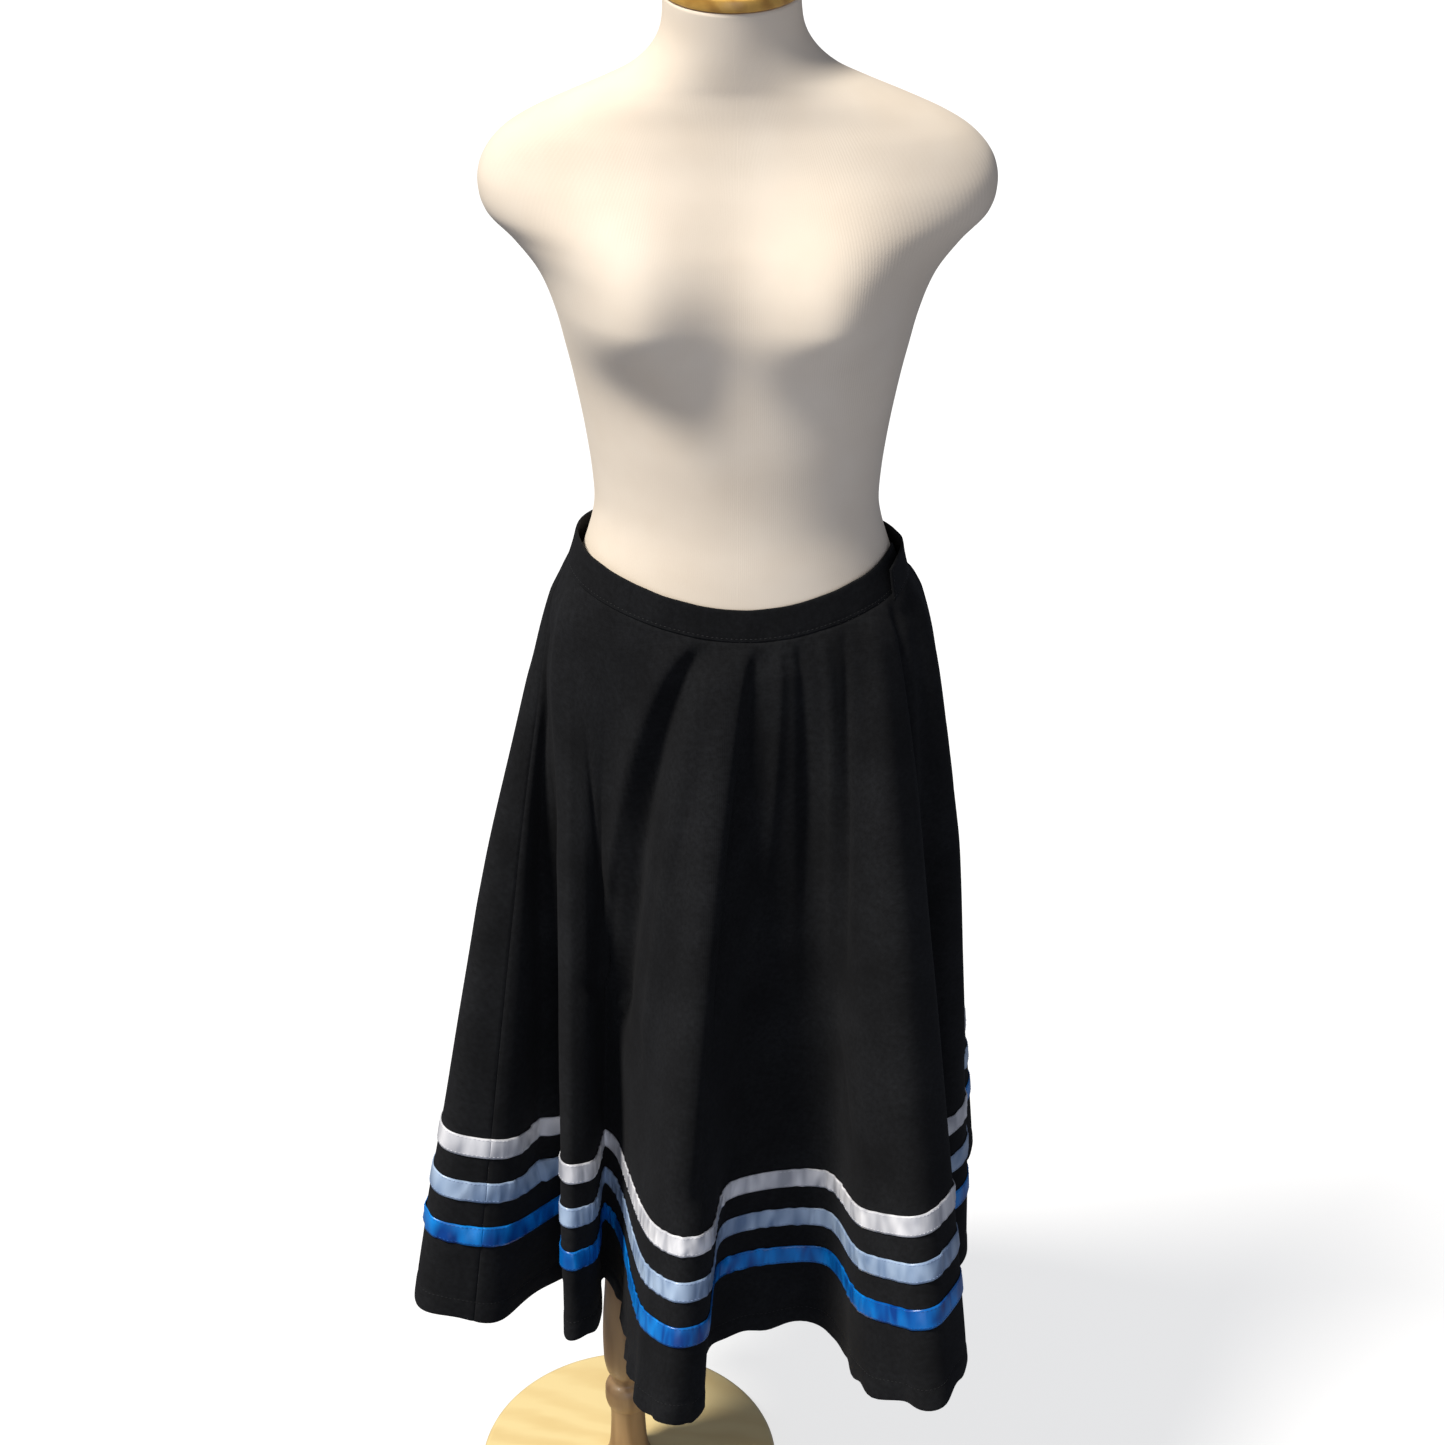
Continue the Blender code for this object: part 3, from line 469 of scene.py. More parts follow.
def cloth(share, drop, groove=SEAM_GROOVE):
    """Points of the finished cloth: creases, a faint swell, and a ripple with scallops at the hem."""
    share, drop = np.broadcast_arrays(np.asarray(share, float), np.asarray(drop, float))
    along = share % 1.0 * HEM
    hem_side = np.clip((drop - 0.560) / 0.140, 0, 1) ** 2
    ripple = RIPPLE * hem_side * uneven(along, (0.089, 0.057, 0.141), 1)
    swell = SWELL * uneven(along, (0.203, 0.113), 2) * uneven(drop, (0.310, 0.170), 3)
    below_band = np.clip(drop / 0.016, 0, 1)
    height = (crease_height(share, drop) + swell) * below_band * below_band * (3 - 2 * below_band) + ripple
    height = height + side_seam(share, drop, groove) + hem_seam(along, drop)
    height = height - 0.0005 * np.exp(-(drop / 0.003) ** 2)
    edge = np.clip((drop - 0.650) / 0.050, 0, 1) ** 2
    lively = 0.7 + 0.5 * uneven(along, (0.61, 0.37), 28)
    lively = lively * (1 - 0.85 * np.exp(-(((share - CALM_HEM + 0.5) % 1.0 - 0.5) / 0.07) ** 2))
    height = height + SCALLOP_OUT * edge * lively * uneven(along, (0.061, 0.043, 0.083), 8)
    drop = drop + HEM_WAVER * hem_side * uneven(along, (0.127, 0.073), 4)
    drop = drop + SCALLOP_DOWN * edge * lively * uneven(along, (0.048, 0.071, 0.036), 5)
    points = smooth_cloth(share, drop)
    points = points + outward(smooth_cloth, share, drop) * height[..., None]
    x, y = keep_outside(points[..., 0], points[..., 1], points[..., 2], drop * 0, CLOTH / 2 + 0.0006)
    return np.stack([x, y, points[..., 2]], axis=-1)


# %% [markdown]
# ## From formula to cloth
#
# A panel is a grid of faces, with its columns crowded where the hem turns tightly, and a UV map in
# metres of the flat cut, so that a weave keeps its size and its grain. Solidify gives it a wall.

# %% Grids
SEAM_OVERRUN = 0.0004


def crowded_shares(start, end, columns, crowding=0.035, steps=1600):
    """Shares of the band for a panel's columns."""
    spots = np.linspace(start, end, steps + 1)
    hem = hem_at(spots)
    moves = np.diff(hem, axis=0)
    heading = np.unwrap(np.arctan2(moves[:, 1], moves[:, 0]))
    turns = np.abs(np.diff(heading, prepend=heading[0]))
    weight = np.concatenate([[0], np.cumsum(np.linalg.norm(moves, axis=1) + crowding * turns)])
    shares = np.interp(np.linspace(0, weight[-1], columns + 1), weight, spots)
    beside_seams = np.array((0.0011, 0.0024, 0.0042)) / (WAIST + math.pi * 0.500)
    return np.unique(np.concatenate([shares, start + beside_seams, end - beside_seams]))


def grid_piece(name, points, flat, material, wall):
    """An object from rows of points, with a UV map in metres of the flat cut and a wall of its thickness."""
    rows, columns = points.shape[:2]
    corner = np.arange(rows * columns).reshape(rows, columns)
    faces = np.stack([corner[:-1, :-1], corner[1:, :-1], corner[1:, 1:], corner[:-1, 1:]], axis=-1)
    faces = faces.reshape(-1, 4)
    mesh = bpy.data.meshes.new(name)
    mesh.from_pydata(points.reshape(-1, 3).tolist(), [], faces.tolist())
    layer = mesh.uv_layers.new(name="cut")
    layer.data.foreach_set("uv", flat.reshape(-1, 2)[faces.ravel()].ravel())
    mesh.shade_smooth()
    mesh.materials.append(material)
    item = bpy.data.objects.new(name, mesh)
    bpy.context.scene.collection.objects.link(item)
    solid = item.modifiers.new("wall", "SOLIDIFY")
    solid.thickness, solid.offset, solid.use_rim = wall, 0.0, True
    return item


def meet_at_seams(points):
    """Runs a piece's side edges into its neighbour's at the bottom of the seam's groove."""
    for edge, beside in ((0, 1), (-1, -2)):
        outwards = points[:, edge] - points[:, beside]
        points[:, edge] += outwards / np.linalg.norm(outwards, axis=1, keepdims=True) * SEAM_OVERRUN
    return points


# %% [markdown]
# ## Cloth for the skirt
#
# Black cotton drill is matt but not dead: its fibre ends catch a faint grey sheen at a slant, and its
# fine twill shows as slightly uneven threads. The sheen and the thread bump carry most of the look.
# The real threads are 0.4 mm apart, too fine for the picture, so they are drawn at 1.1 mm.

# %% Black cotton
WEAVE_MM = 1.1


def wave_scale(millimetres):
    """The wave texture's scale that repeats every so many millimetres: its own wave is tau / 20 long."""
    return math.tau / 20 / (millimetres / 1000)


def woven_cotton(name, deep, pale, roughness):
    mat, tree, output = new_material(name)
    cut = add_node(tree, "ShaderNodeUVMap", {"uv_map": "cut"})
    threads = []
    for turn in (0.0, math.pi / 2):
        place = add_node(tree, "ShaderNodeMapping", Vector=cut.outputs[0], Rotation=(0, 0, turn))
        wave = add_node(tree, "ShaderNodeTexWave", {"wave_type": "BANDS", "bands_direction": "X"},
                        Vector=place.outputs[0], Scale=wave_scale(WEAVE_MM), Distortion=1.2,
                        Detail=2.0, Detail_Scale=2.0)
        threads.append(wave)
    weave = add_node(tree, "ShaderNodeMath", {"operation": "MAXIMUM"},
                     _0=threads[0].outputs["Fac"], _1=threads[1].outputs["Fac"])
    slub = add_node(tree, "ShaderNodeTexNoise", Vector=cut.outputs[0], Scale=210.0, Detail=5.0, Roughness=0.7)
    worn = add_node(tree, "ShaderNodeTexNoise", Vector=cut.outputs[0], Scale=14.0, Detail=4.0, Roughness=0.6)
    nap = add_node(tree, "ShaderNodeMath", {"operation": "MULTIPLY"},
                   _0=slub.outputs["Fac"], _1=worn.outputs["Fac"])
    blend = add_node(tree, "ShaderNodeMath", {"operation": "MULTIPLY_ADD"},
                     _0=weave.outputs[0], _1=0.18, _2=nap.outputs[0])
    tone = add_node(tree, "ShaderNodeValToRGB", Fac=blend.outputs[0])
    tone.color_ramp.elements[0].position = 0.24
    tone.color_ramp.elements[0].color = linear(deep)
    tone.color_ramp.elements[1].position = 0.56
    tone.color_ramp.elements[1].color = linear(pale)
    bump = add_node(tree, "ShaderNodeBump", Strength=0.4, Distance=0.0005, Height=blend.outputs[0])
    shader = add_node(tree, "ShaderNodeBsdfPrincipled", Base_Color=tone.outputs[0], Roughness=roughness,
                      Normal=bump.outputs[0], Sheen_Weight=0.035, Sheen_Roughness=0.7)
    shader.inputs["Sheen Tint"].default_value = linear("#a0a0a6")
    shader.inputs["Specular IOR Level"].default_value = 0.10
    tree.links.new(shader.outputs[0], output.inputs[0])
    return mat


black_cotton = woven_cotton("black cotton drill", "#0c0c0d", "#1e1f21", 0.92)

# %% [markdown]
# ## The two panels
#
# Each panel is a quarter circle. Its top edge runs a millimetre up into the band, where it is sewn in,
# and its lower edge is folded up inside and stitched, so the hem shows two layers with a rounded fold.

# %% Skirt panels
left_seam, right_seam = SEAMS
PANELS = {"front": (left_seam, right_seam), "back": (right_seam, left_seam + 1.0)}
PANEL_COLUMNS = {"front": 320, "back": 290}
INTO_BAND = 0.0018
FOLD_RADIUS = 0.0009

cloth_rows = np.concatenate([np.linspace(-INTO_BAND, 0.060, 14), np.linspace(0.066, 0.666, 95),
                             np.linspace(0.670, SKIRT_LENGTH, 12)])


def turned_hem(shares):
    """Rows that carry on from the hem's edge: round the fold and up the inside."""
    edge, lean = cloth(shares, SKIRT_LENGTH), outward(cloth, shares, SKIRT_LENGTH)
    down = edge - cloth(shares, SKIRT_LENGTH - 0.004)
    down /= np.linalg.norm(down, axis=-1, keepdims=True)
    rows = []
    for turn in (45, 90, 135):
        a = math.radians(turn)
        rows.append(edge + FOLD_RADIUS * (down * math.sin(a) - lean * (1 - math.cos(a))))
    for up in np.linspace(0, HEM_TURN - math.pi * FOLD_RADIUS, 6):
        inside = cloth(shares, SKIRT_LENGTH - up)
        rows.append(inside - lean * (2 * FOLD_RADIUS + 0.0003 * up / HEM_TURN))
    return np.concatenate(rows)


for side, (start, end) in PANELS.items():
    shares = crowded_shares(start, end, PANEL_COLUMNS[side])[None, :]
    points = meet_at_seams(np.concatenate([cloth(shares, cloth_rows[:, None]), turned_hem(shares)]))
    drops = np.concatenate([cloth_rows, SKIRT_LENGTH + np.linspace(0.0007, HEM_TURN, 9)])[:, None]
    flat = on_the_cut(shares - (start + end) / 2, drops)
    panel = grid_piece(f"panel_{side}", points, flat, black_cotton, CLOTH)
    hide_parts(f"skirt_{side}")
    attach(panel, "root")
    print(panel.name, len(panel.data.polygons), "faces in its middle surface")

# %% [markdown]
# ## Satin ribbon
#
# Polyester satin has long floats of filament along its length, so its highlight is a soft streak
# across the ribbon. Sewing gathers it a little, and the gathers run across it from its stitched edges,
# slightly slanted. Some are in its shape, and a bump adds softer ones about 13 mm apart. The colour
# carries painted shade in the hollows of these bumped gathers, and larger patches of painted light and
# shade along the ribbon.

# %% Satin
GATHERS_PER_METRE = (78.0, 26.0, 1.0)     # along the ribbon, across it, and unused
GATHER_SLANT = 0.35


def satin(name, deep, bright):
    mat, tree, output = new_material(name)
    cut = add_node(tree, "ShaderNodeUVMap", {"uv_map": "cut"})
    crossways = add_node(tree, "ShaderNodeMapping", Vector=cut.outputs[0], Rotation=(0, 0, GATHER_SLANT),
                         Scale=GATHERS_PER_METRE)
    gathers = add_node(tree, "ShaderNodeTexNoise", Vector=crossways.outputs[0], Scale=1.0, Detail=1.5,
                       Roughness=0.4, Distortion=0.4)
    wide = add_node(tree, "ShaderNodeTexNoise", Vector=cut.outputs[0], Scale=16.0, Detail=2.0)
    both = add_node(tree, "ShaderNodeMath", {"operation": "ADD"},
                    _0=gathers.outputs["Fac"], _1=wide.outputs["Fac"])
    half = add_node(tree, "ShaderNodeMath", {"operation": "MULTIPLY"}, _0=both.outputs[0], _1=0.5)
    # Painted light and shade: the ramp paints the satin's shaded tone (deep) into the gathers' hollows and
    # the darker wide patches, and its lit tone (bright) onto the gathers' crests and the lighter patches.
    tone = add_node(tree, "ShaderNodeValToRGB", Fac=half.outputs[0])
    tone.color_ramp.elements[0].position = 0.38
    tone.color_ramp.elements[0].color = linear(deep)
    tone.color_ramp.elements[1].position = 0.60
    tone.color_ramp.elements[1].color = linear(bright)
    bump = add_node(tree, "ShaderNodeBump", Strength=0.8, Distance=0.0026, Height=gathers.outputs["Fac"])
    shader = add_node(tree, "ShaderNodeBsdfPrincipled", Base_Color=tone.outputs[0], Roughness=0.30,
                      Normal=bump.outputs[0], Anisotropic=0.6)
    tree.links.new(shader.outputs[0], output.inputs[0])
    return mat


# Each satin is given as its tone in painted shade, then its painted lit tone.
RIBBONS = (
    ("white", satin("white satin", "#a6a8b0", "#f4f4f7")),
    ("pale_blue", satin("pale blue satin", "#7189ab", "#b4c9e2")),
    ("royal_blue", satin("royal blue satin", "#024090", "#0c8ae4")),
)

# %% [markdown]
# ## Laying the ribbons
#
# A ribbon is sewn flat on the cloth along both its edges, so its points are the cloth's own, moved
# outwards by the walls between them. It follows every crease that way, and never sinks into one.
# Between its stitches it stands a little proud, and the thread draws its edges into small gathers.

# %% Ribbons on the cloth
RIBBON_ROWS = 9


def ribbon_middle(number):
    """How far below the band a ribbon's middle is sewn, from the top ribbon."""
    return SKIRT_LENGTH - RIBBON_FROM_HEM - (2 - number) * RIBBON_PITCH


def pucker(run, across, seed):
    """Small gathers along a ribbon's two stitched edges, which come and go along its length."""
    strength = np.clip(0.55 + 0.9 * uneven(run, (0.211, 0.131, 0.083), seed), 0, 1.4)
    upper = uneven(run, (0.0190, 0.0127, 0.0310), seed + 3) * np.exp(-((across + 0.38) / 0.30) ** 2)
    lower = uneven(run + 0.006, (0.0170, 0.0113, 0.0270), seed + 7) * np.exp(-((across - 0.38) / 0.30) ** 2)
    return 0.0010 * strength * (upper + lower)


def ribbon_points(number, shares, across):
    """The middle of a ribbon's wall, laid on the cloth, and the cloth's outward direction there."""
    drops = ribbon_middle(number) + across * RIBBON_WIDTH
    lean = outward(cloth, shares, drops)
    puff = 0.0004 * (1 - (2 * across) ** 2) + pucker(shares % 1.0 * HEM, across, number)
    away = CLOTH / 2 + GAP + RIBBON_CLOTH / 2 + puff[..., None]
    return cloth(shares, drops, GROOVE_UNDER_RIBBON) + lean * away, lean


across = np.linspace(-0.5, 0.5, RIBBON_ROWS)[:, None]
for number, (colour, finish) in enumerate(RIBBONS):
    for side, (start, end) in PANELS.items():
        shares = crowded_shares(start, end, 2 * PANEL_COLUMNS[side])[None, :]
        points = meet_at_seams(ribbon_points(number, shares, across)[0])
        length = (WAIST + math.pi * ribbon_middle(number)) * (end - start)
        run = (shares - start) / (end - start) * length
        flat = np.stack(np.broadcast_arrays(run, across * RIBBON_WIDTH), axis=-1)
        ribbon = grid_piece(f"satin_{colour}_{side}", points, flat, finish, RIBBON_CLOTH * 0.8)
        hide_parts(f"ribbon_{colour}_{side}")
        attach(ribbon, "root")
print("three ribbons in two lengths each")

# %% [markdown]
# ## The waistband
#
# The band is a stiffened strip folded double and stitched along its lower edge. It goes round in two
# lengths. The back one carries on past the right side seam as the tab that laps over the front and
# fastens there, so its end stands off the band a little and drops.

# %% Band and tab
TAB_START_DEG, TAB_OVER_DEG, TAB_END_DEG, FRONT_BAND_END_DEG = 97.0, 86.0, 66.0, 84.0
TAB_GAPE = 0.0060         # the tab's top edge stands away from the form, as it isn't pulled tight
GAPE_START_DEG, GAPE_FULL_DEG = 124.0, 90.0
BAND_STITCH_DROP = BAND_HEIGHT - 0.0030
BAND_SIDE_RADIUS = 0.145


def tab_lift(degrees):
    """How far the back band stands outside the ring over its overlap, and how far its end drops."""
    t = np.clip((TAB_START_DEG - degrees) / (TAB_START_DEG - TAB_OVER_DEG), 0, 1)
    s = np.clip((TAB_OVER_DEG - degrees) / (TAB_OVER_DEG - TAB_END_DEG), 0, 1)
    return t * t * (3 - 2 * t) * (BAND_CLOTH + 0.0012) + 0.0030 * s * s, 0.0020 * s * s


def band_relief(degrees, drop):
    """The band's faint buckles, the dip of its stitch row and the soft roll of its folded top edge."""
    run = degrees / 360 * WAIST
    above_seam = np.clip((BAND_HEIGHT - drop) / 0.010, 0, 1)
    buckle = 0.0005 * above_seam * uneven(run, (0.043, 0.071, 0.029), 11)
    stitched = 0.0002 * np.exp(-((drop - BAND_STITCH_DROP) / 0.0012) ** 2)
    roll = 0.0003 * np.exp(-(drop / 0.0016) ** 2)
    return buckle - stitched - roll


def band_surface(side, degrees, drop):
    """The middle of a band's wall, with the back one's tab lifted over the front one."""
    lift, sink = tab_lift(degrees) if side == "back" else (degrees * 0, degrees * 0)
    gape = np.clip((GAPE_START_DEG - degrees) / (GAPE_START_DEG - GAPE_FULL_DEG), 0, 1)
    gape = gape * TAB_GAPE * (side == "back")
    lift = lift + gape**2 / TAB_GAPE * (1 - 0.85 * drop / BAND_HEIGHT)
    points = band_points(np.radians(degrees), drop, lift + band_relief(degrees, drop))
    points[..., 2] -= sink
    return points


slack = math.degrees(GAP / 2 / BAND_SIDE_RADIUS)
BANDS = {
    "front": np.linspace(SEAM_LEFT_DEG + slack, FRONT_BAND_END_DEG, 190),
    "back": np.linspace(TAB_END_DEG, SEAM_LEFT_DEG + 360 - slack, 230),
}
band_drops = np.linspace(0, BAND_HEIGHT, 25)[:, None]
for side, degrees in BANDS.items():
    points = band_surface(side, degrees[None, :], band_drops)
    steps = np.linalg.norm(np.diff(points[12], axis=0), axis=1)
    run = np.concatenate([[0], np.cumsum(steps)])
    flat = np.stack(np.broadcast_arrays(run[None, :], band_drops), axis=-1)
    band = grid_piece(f"band_{side}", points, flat, black_cotton, BAND_CLOTH)
    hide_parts(f"waistband_{side}")
    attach(band, "root")
    print(band.name, round(run[-1] * 1000), "mm long")

# %% [markdown]
# ## Stitches
#
# A row of machine stitches is one small shape repeated along a line, which is what Geometry Nodes are
# for: the line is turned to points at an even pitch, a thread is laid along each, and the result is
# made one plain mesh. Real stitches are 2.5 mm long and 0.3 mm thick. Here they are 3 mm and 0.5 mm.

# %% Sewing thread


def sewing_thread(name, deep, bright):
    mat, tree, output = new_material(name)
    place = add_node(tree, "ShaderNodeTexCoord").outputs["Object"]
    plies = add_node(tree, "ShaderNodeTexNoise", Vector=place, Scale=2600.0, Detail=2.0)
    tone = add_node(tree, "ShaderNodeValToRGB", Fac=plies.outputs["Fac"])
    tone.color_ramp.elements[0].color = linear(deep)
    tone.color_ramp.elements[1].color = linear(bright)
    shader = add_node(tree, "ShaderNodeBsdfPrincipled", Base_Color=tone.outputs[0], Roughness=0.6)
    tree.links.new(shader.outputs[0], output.inputs[0])
    return mat


# %% A row of stitches as a node tree
def stitch_tree():
    tree = bpy.data.node_groups.new("row of stitches", "GeometryNodeTree")
    names = {}
    for name, kind in (("Line", "Geometry"), ("Pitch", "Float"), ("Stitch", "Float"), ("Thread", "Float"),
                       ("Finish", "Material")):
        names[name] = tree.interface.new_socket(name=name, in_out="INPUT", socket_type="NodeSocket" + kind)
    tree.interface.new_socket(name="Stitches", in_out="OUTPUT", socket_type="NodeSocketGeometry")
    given, result = tree.nodes.new("NodeGroupInput"), tree.nodes.new("NodeGroupOutput")
    curve = add_node(tree, "GeometryNodeMeshToCurve", Mesh=given.outputs["Line"])
    spots = add_node(tree, "GeometryNodeCurveToPoints", {"mode": "LENGTH"},
                     Curve=curve.outputs[0], Length=given.outputs["Pitch"])
    along = add_node(tree, "FunctionNodeAlignRotationToVector", {"axis": "X"},
                     Vector=spots.outputs["Tangent"])
    ball = add_node(tree, "GeometryNodeMeshIcoSphere", Radius=0.5, Subdivisions=1)
    size = add_node(tree, "ShaderNodeCombineXYZ", X=given.outputs["Stitch"], Y=given.outputs["Thread"],
                    Z=given.outputs["Thread"])
    threads = add_node(tree, "GeometryNodeInstanceOnPoints", Points=spots.outputs["Points"],
                       Instance=ball.outputs["Mesh"], Rotation=along.outputs[0], Scale=size.outputs[0])
    real = add_node(tree, "GeometryNodeRealizeInstances", Geometry=threads.outputs[0])
    dressed = add_node(tree, "GeometryNodeSetMaterial", Geometry=real.outputs[0],
                       Material=given.outputs["Finish"])
    tree.links.new(dressed.outputs[0], result.inputs[0])
    return tree, {name: socket.identifier for name, socket in names.items()}


STITCH_TREE, STITCH_INPUTS = stitch_tree()
STITCH_PITCH, STITCH_LENGTH, THREAD = 0.0040, 0.0030, 0.0005
THREAD_OUT = THREAD * 0.2     # a stitch's middle lies this far out, so a third of it is drawn into the cloth
RIBBON_STITCHES = (-0.405, 0.405)


def stitch_rows(name, lines, finish):
    """Lays stitches along several lines of points, as one plain mesh."""
    points = np.concatenate(lines)
    starts = np.cumsum([0] + [len(line) for line in lines])
    edges = [(i, i + 1) for a, b in zip(starts, starts[1:]) for i in range(a, b - 1)]
    mesh = bpy.data.meshes.new(name)
    mesh.from_pydata(points.tolist(), edges, [])
    item = bpy.data.objects.new(name, mesh)
    bpy.context.scene.collection.objects.link(item)
    nodes = item.modifiers.new("stitches", "NODES")
    nodes.node_group = STITCH_TREE
    for socket, value in (("Pitch", STITCH_PITCH), ("Stitch", STITCH_LENGTH), ("Thread", THREAD),
                          ("Finish", finish)):
        nodes[STITCH_INPUTS[socket]] = value
    item.data.update()
    bpy.context.view_layer.update()
    made = bpy.data.meshes.new_from_object(item.evaluated_get(bpy.context.evaluated_depsgraph_get()))
    item.modifiers.clear()
    item.data = made
    made.shade_smooth()
    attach(item, "root")
    print(name, len(made.polygons), "faces")
    return item


# %% Stitches on the ribbons, the hem and the band
all_round = np.concatenate([crowded_shares(start, end, 900) for start, end in PANELS.values()])
THREADS = {
    "white": sewing_thread("white thread", "#c4c5cc", "#ececf2"),
    "pale_blue": sewing_thread("pale blue thread", "#8195bd", "#a9bbdd"),
    "royal_blue": sewing_thread("royal blue thread", "#07438c", "#1568b8"),
}
for number, (colour, finish) in enumerate(RIBBONS):
    lines = []
    for row in RIBBON_STITCHES:
        middle, lean = ribbon_points(number, all_round, np.full(len(all_round), row))
        lines.append(middle + lean * (RIBBON_CLOTH * 0.4 + THREAD_OUT))
    stitch_rows(f"stitches_{colour}", lines, THREADS[colour])

hem_row = np.full(len(all_round), HEM_STITCH_DROP)
lines = [cloth(all_round, hem_row) + outward(cloth, all_round, hem_row) * (CLOTH / 2 + THREAD_OUT)]
for side, degrees in BANDS.items():
    row = band_surface(side, degrees, np.full(len(degrees), BAND_STITCH_DROP))
    around = np.gradient(row, axis=0)
    lean = np.cross((0.0, 0.0, -1.0), around)
    lines.append(row + lean / np.linalg.norm(lean, axis=1, keepdims=True) * (BAND_CLOTH / 2 + THREAD_OUT))
tab_end = band_surface("back", np.full(20, TAB_END_DEG + 1.1), np.linspace(0.0025, BAND_STITCH_DROP, 20))
tab_facing = np.array((math.sin(math.radians(TAB_END_DEG)), -math.cos(math.radians(TAB_END_DEG)), 0))
lines.append(tab_end + tab_facing * (BAND_CLOTH / 2 + THREAD_OUT))
stitch_rows("stitches_black", lines, sewing_thread("black thread", "#0b0b0c", "#1b1c1e"))

# %% [markdown]
# ## The form's jersey
#
# A dress form is a padded shell under a stretched tube of ivory cotton jersey. Jersey is soft and matt,
# and its fine upright wales show as a faint vertical grain. The real wales are 0.8 mm apart, too fine
# for the picture, so they are drawn at 2.4 mm. Handling leaves it slightly mottled, with a few small
# grey specks.

# %% Ivory jersey
WALE_MM = 2.4


def ivory_jersey():
    mat, tree, output = new_material("ivory cotton jersey")
    place = add_node(tree, "ShaderNodeTexCoord").outputs["Object"]
    wide = add_node(tree, "ShaderNodeTexNoise", Vector=place, Scale=9.0, Detail=3.0, Roughness=0.55)
    tone = add_node(tree, "ShaderNodeValToRGB", Fac=wide.outputs["Fac"])
    tone.color_ramp.elements[0].position = 0.32
    tone.color_ramp.elements[0].color = linear("#efe0cc")
    tone.color_ramp.elements[1].position = 0.68
    tone.color_ramp.elements[1].color = linear("#f8ebd9")
    cut = add_node(tree, "ShaderNodeUVMap", {"uv_map": "cut"})
    wales = add_node(tree, "ShaderNodeTexWave", {"wave_type": "BANDS", "bands_direction": "X"},
                     Vector=cut.outputs[0], Scale=wave_scale(WALE_MM), Distortion=1.5, Detail=2.0,
                     Detail_Scale=3.0)
    loops = add_node(tree, "ShaderNodeTexNoise", Vector=place, Scale=480.0, Detail=2.0)
    knit = add_node(tree, "ShaderNodeMath", {"operation": "ADD"},
                    _0=wales.outputs["Fac"], _1=loops.outputs["Fac"])
    cells = add_node(tree, "ShaderNodeTexVoronoi", Vector=place, Scale=11.0, Randomness=1.0)
    speck = add_node(tree, "ShaderNodeMath", {"operation": "LESS_THAN"},
                     _0=cells.outputs["Distance"], _1=0.020)
    grey = add_node(tree, "ShaderNodeMath", {"operation": "MULTIPLY"}, _0=speck.outputs[0], _1=0.35)
    marked = add_node(tree, "ShaderNodeMix", {"data_type": "RGBA"}, Factor=grey.outputs[0],
                      _6=tone.outputs[0], _7=linear("#8f8c90"))
    bump = add_node(tree, "ShaderNodeBump", Strength=0.16, Distance=0.0003, Height=knit.outputs[0])
    shader = add_node(tree, "ShaderNodeBsdfPrincipled", Base_Color=marked.outputs[2], Roughness=0.92,
                      Normal=bump.outputs[0], Sheen_Weight=0.15, Sheen_Roughness=0.6)
    shader.inputs["Sheen Tint"].default_value = linear("#fff8ec")
    shader.inputs["Specular IOR Level"].default_value = 0.2
    tree.links.new(shader.outputs[0], output.inputs[0])
    return mat


# %% [markdown]
# ## The torso
#
# The torso is limbless: a lofted shell from hip to neck, with the bust raised on the front and the
# shoulders rounded off. The same sections as on the solid are swept here with a row every few
# millimetres, and the two ends are closed with rings that shrink to a point.

# %% Torso
BUST_X, BUST_Z, BUST_OUT, BUST_HALF_WIDTH = 0.084, 1.318, 0.040, 0.041
BUST_BELOW, BUST_ABOVE = 0.033, 0.058
NECK_LEAN, NECK_ASIDE, NECK_TILT, NECK_TOP_Z = 0.012, -0.005, math.radians(8.3), 1.556
TORSO_COLUMNS, TORSO_STEPS = 240, 8
JERSEY_CUT = (0.92, 0.76)     # the tube's length round the torso and its height, for the wales


def torso_points(angle, z):
    """The torso's surface, with the bust, the lean and the sloped neck."""
    r = form_radius(angle, z)
    x, y = r * np.sin(angle), -r * np.cos(angle)
    chest = np.clip((0.01 - y) / 0.03, 0, 1)
    reach = np.where(z < BUST_Z, BUST_BELOW, BUST_ABOVE)
    for side in (-BUST_X, BUST_X):
        spread = ((x - side) / BUST_HALF_WIDTH) ** 2 + ((z - BUST_Z) / reach) ** 2
        y = y - BUST_OUT * np.exp(-0.5 * spread) * chest
    lean = section_value(z, 5)
    slope = math.tan(NECK_TILT) * (lean / NECK_LEAN) ** 2
    return np.stack([FORM_X + x + NECK_ASIDE * lean / NECK_LEAN, y - lean, z + y * slope], axis=-1)


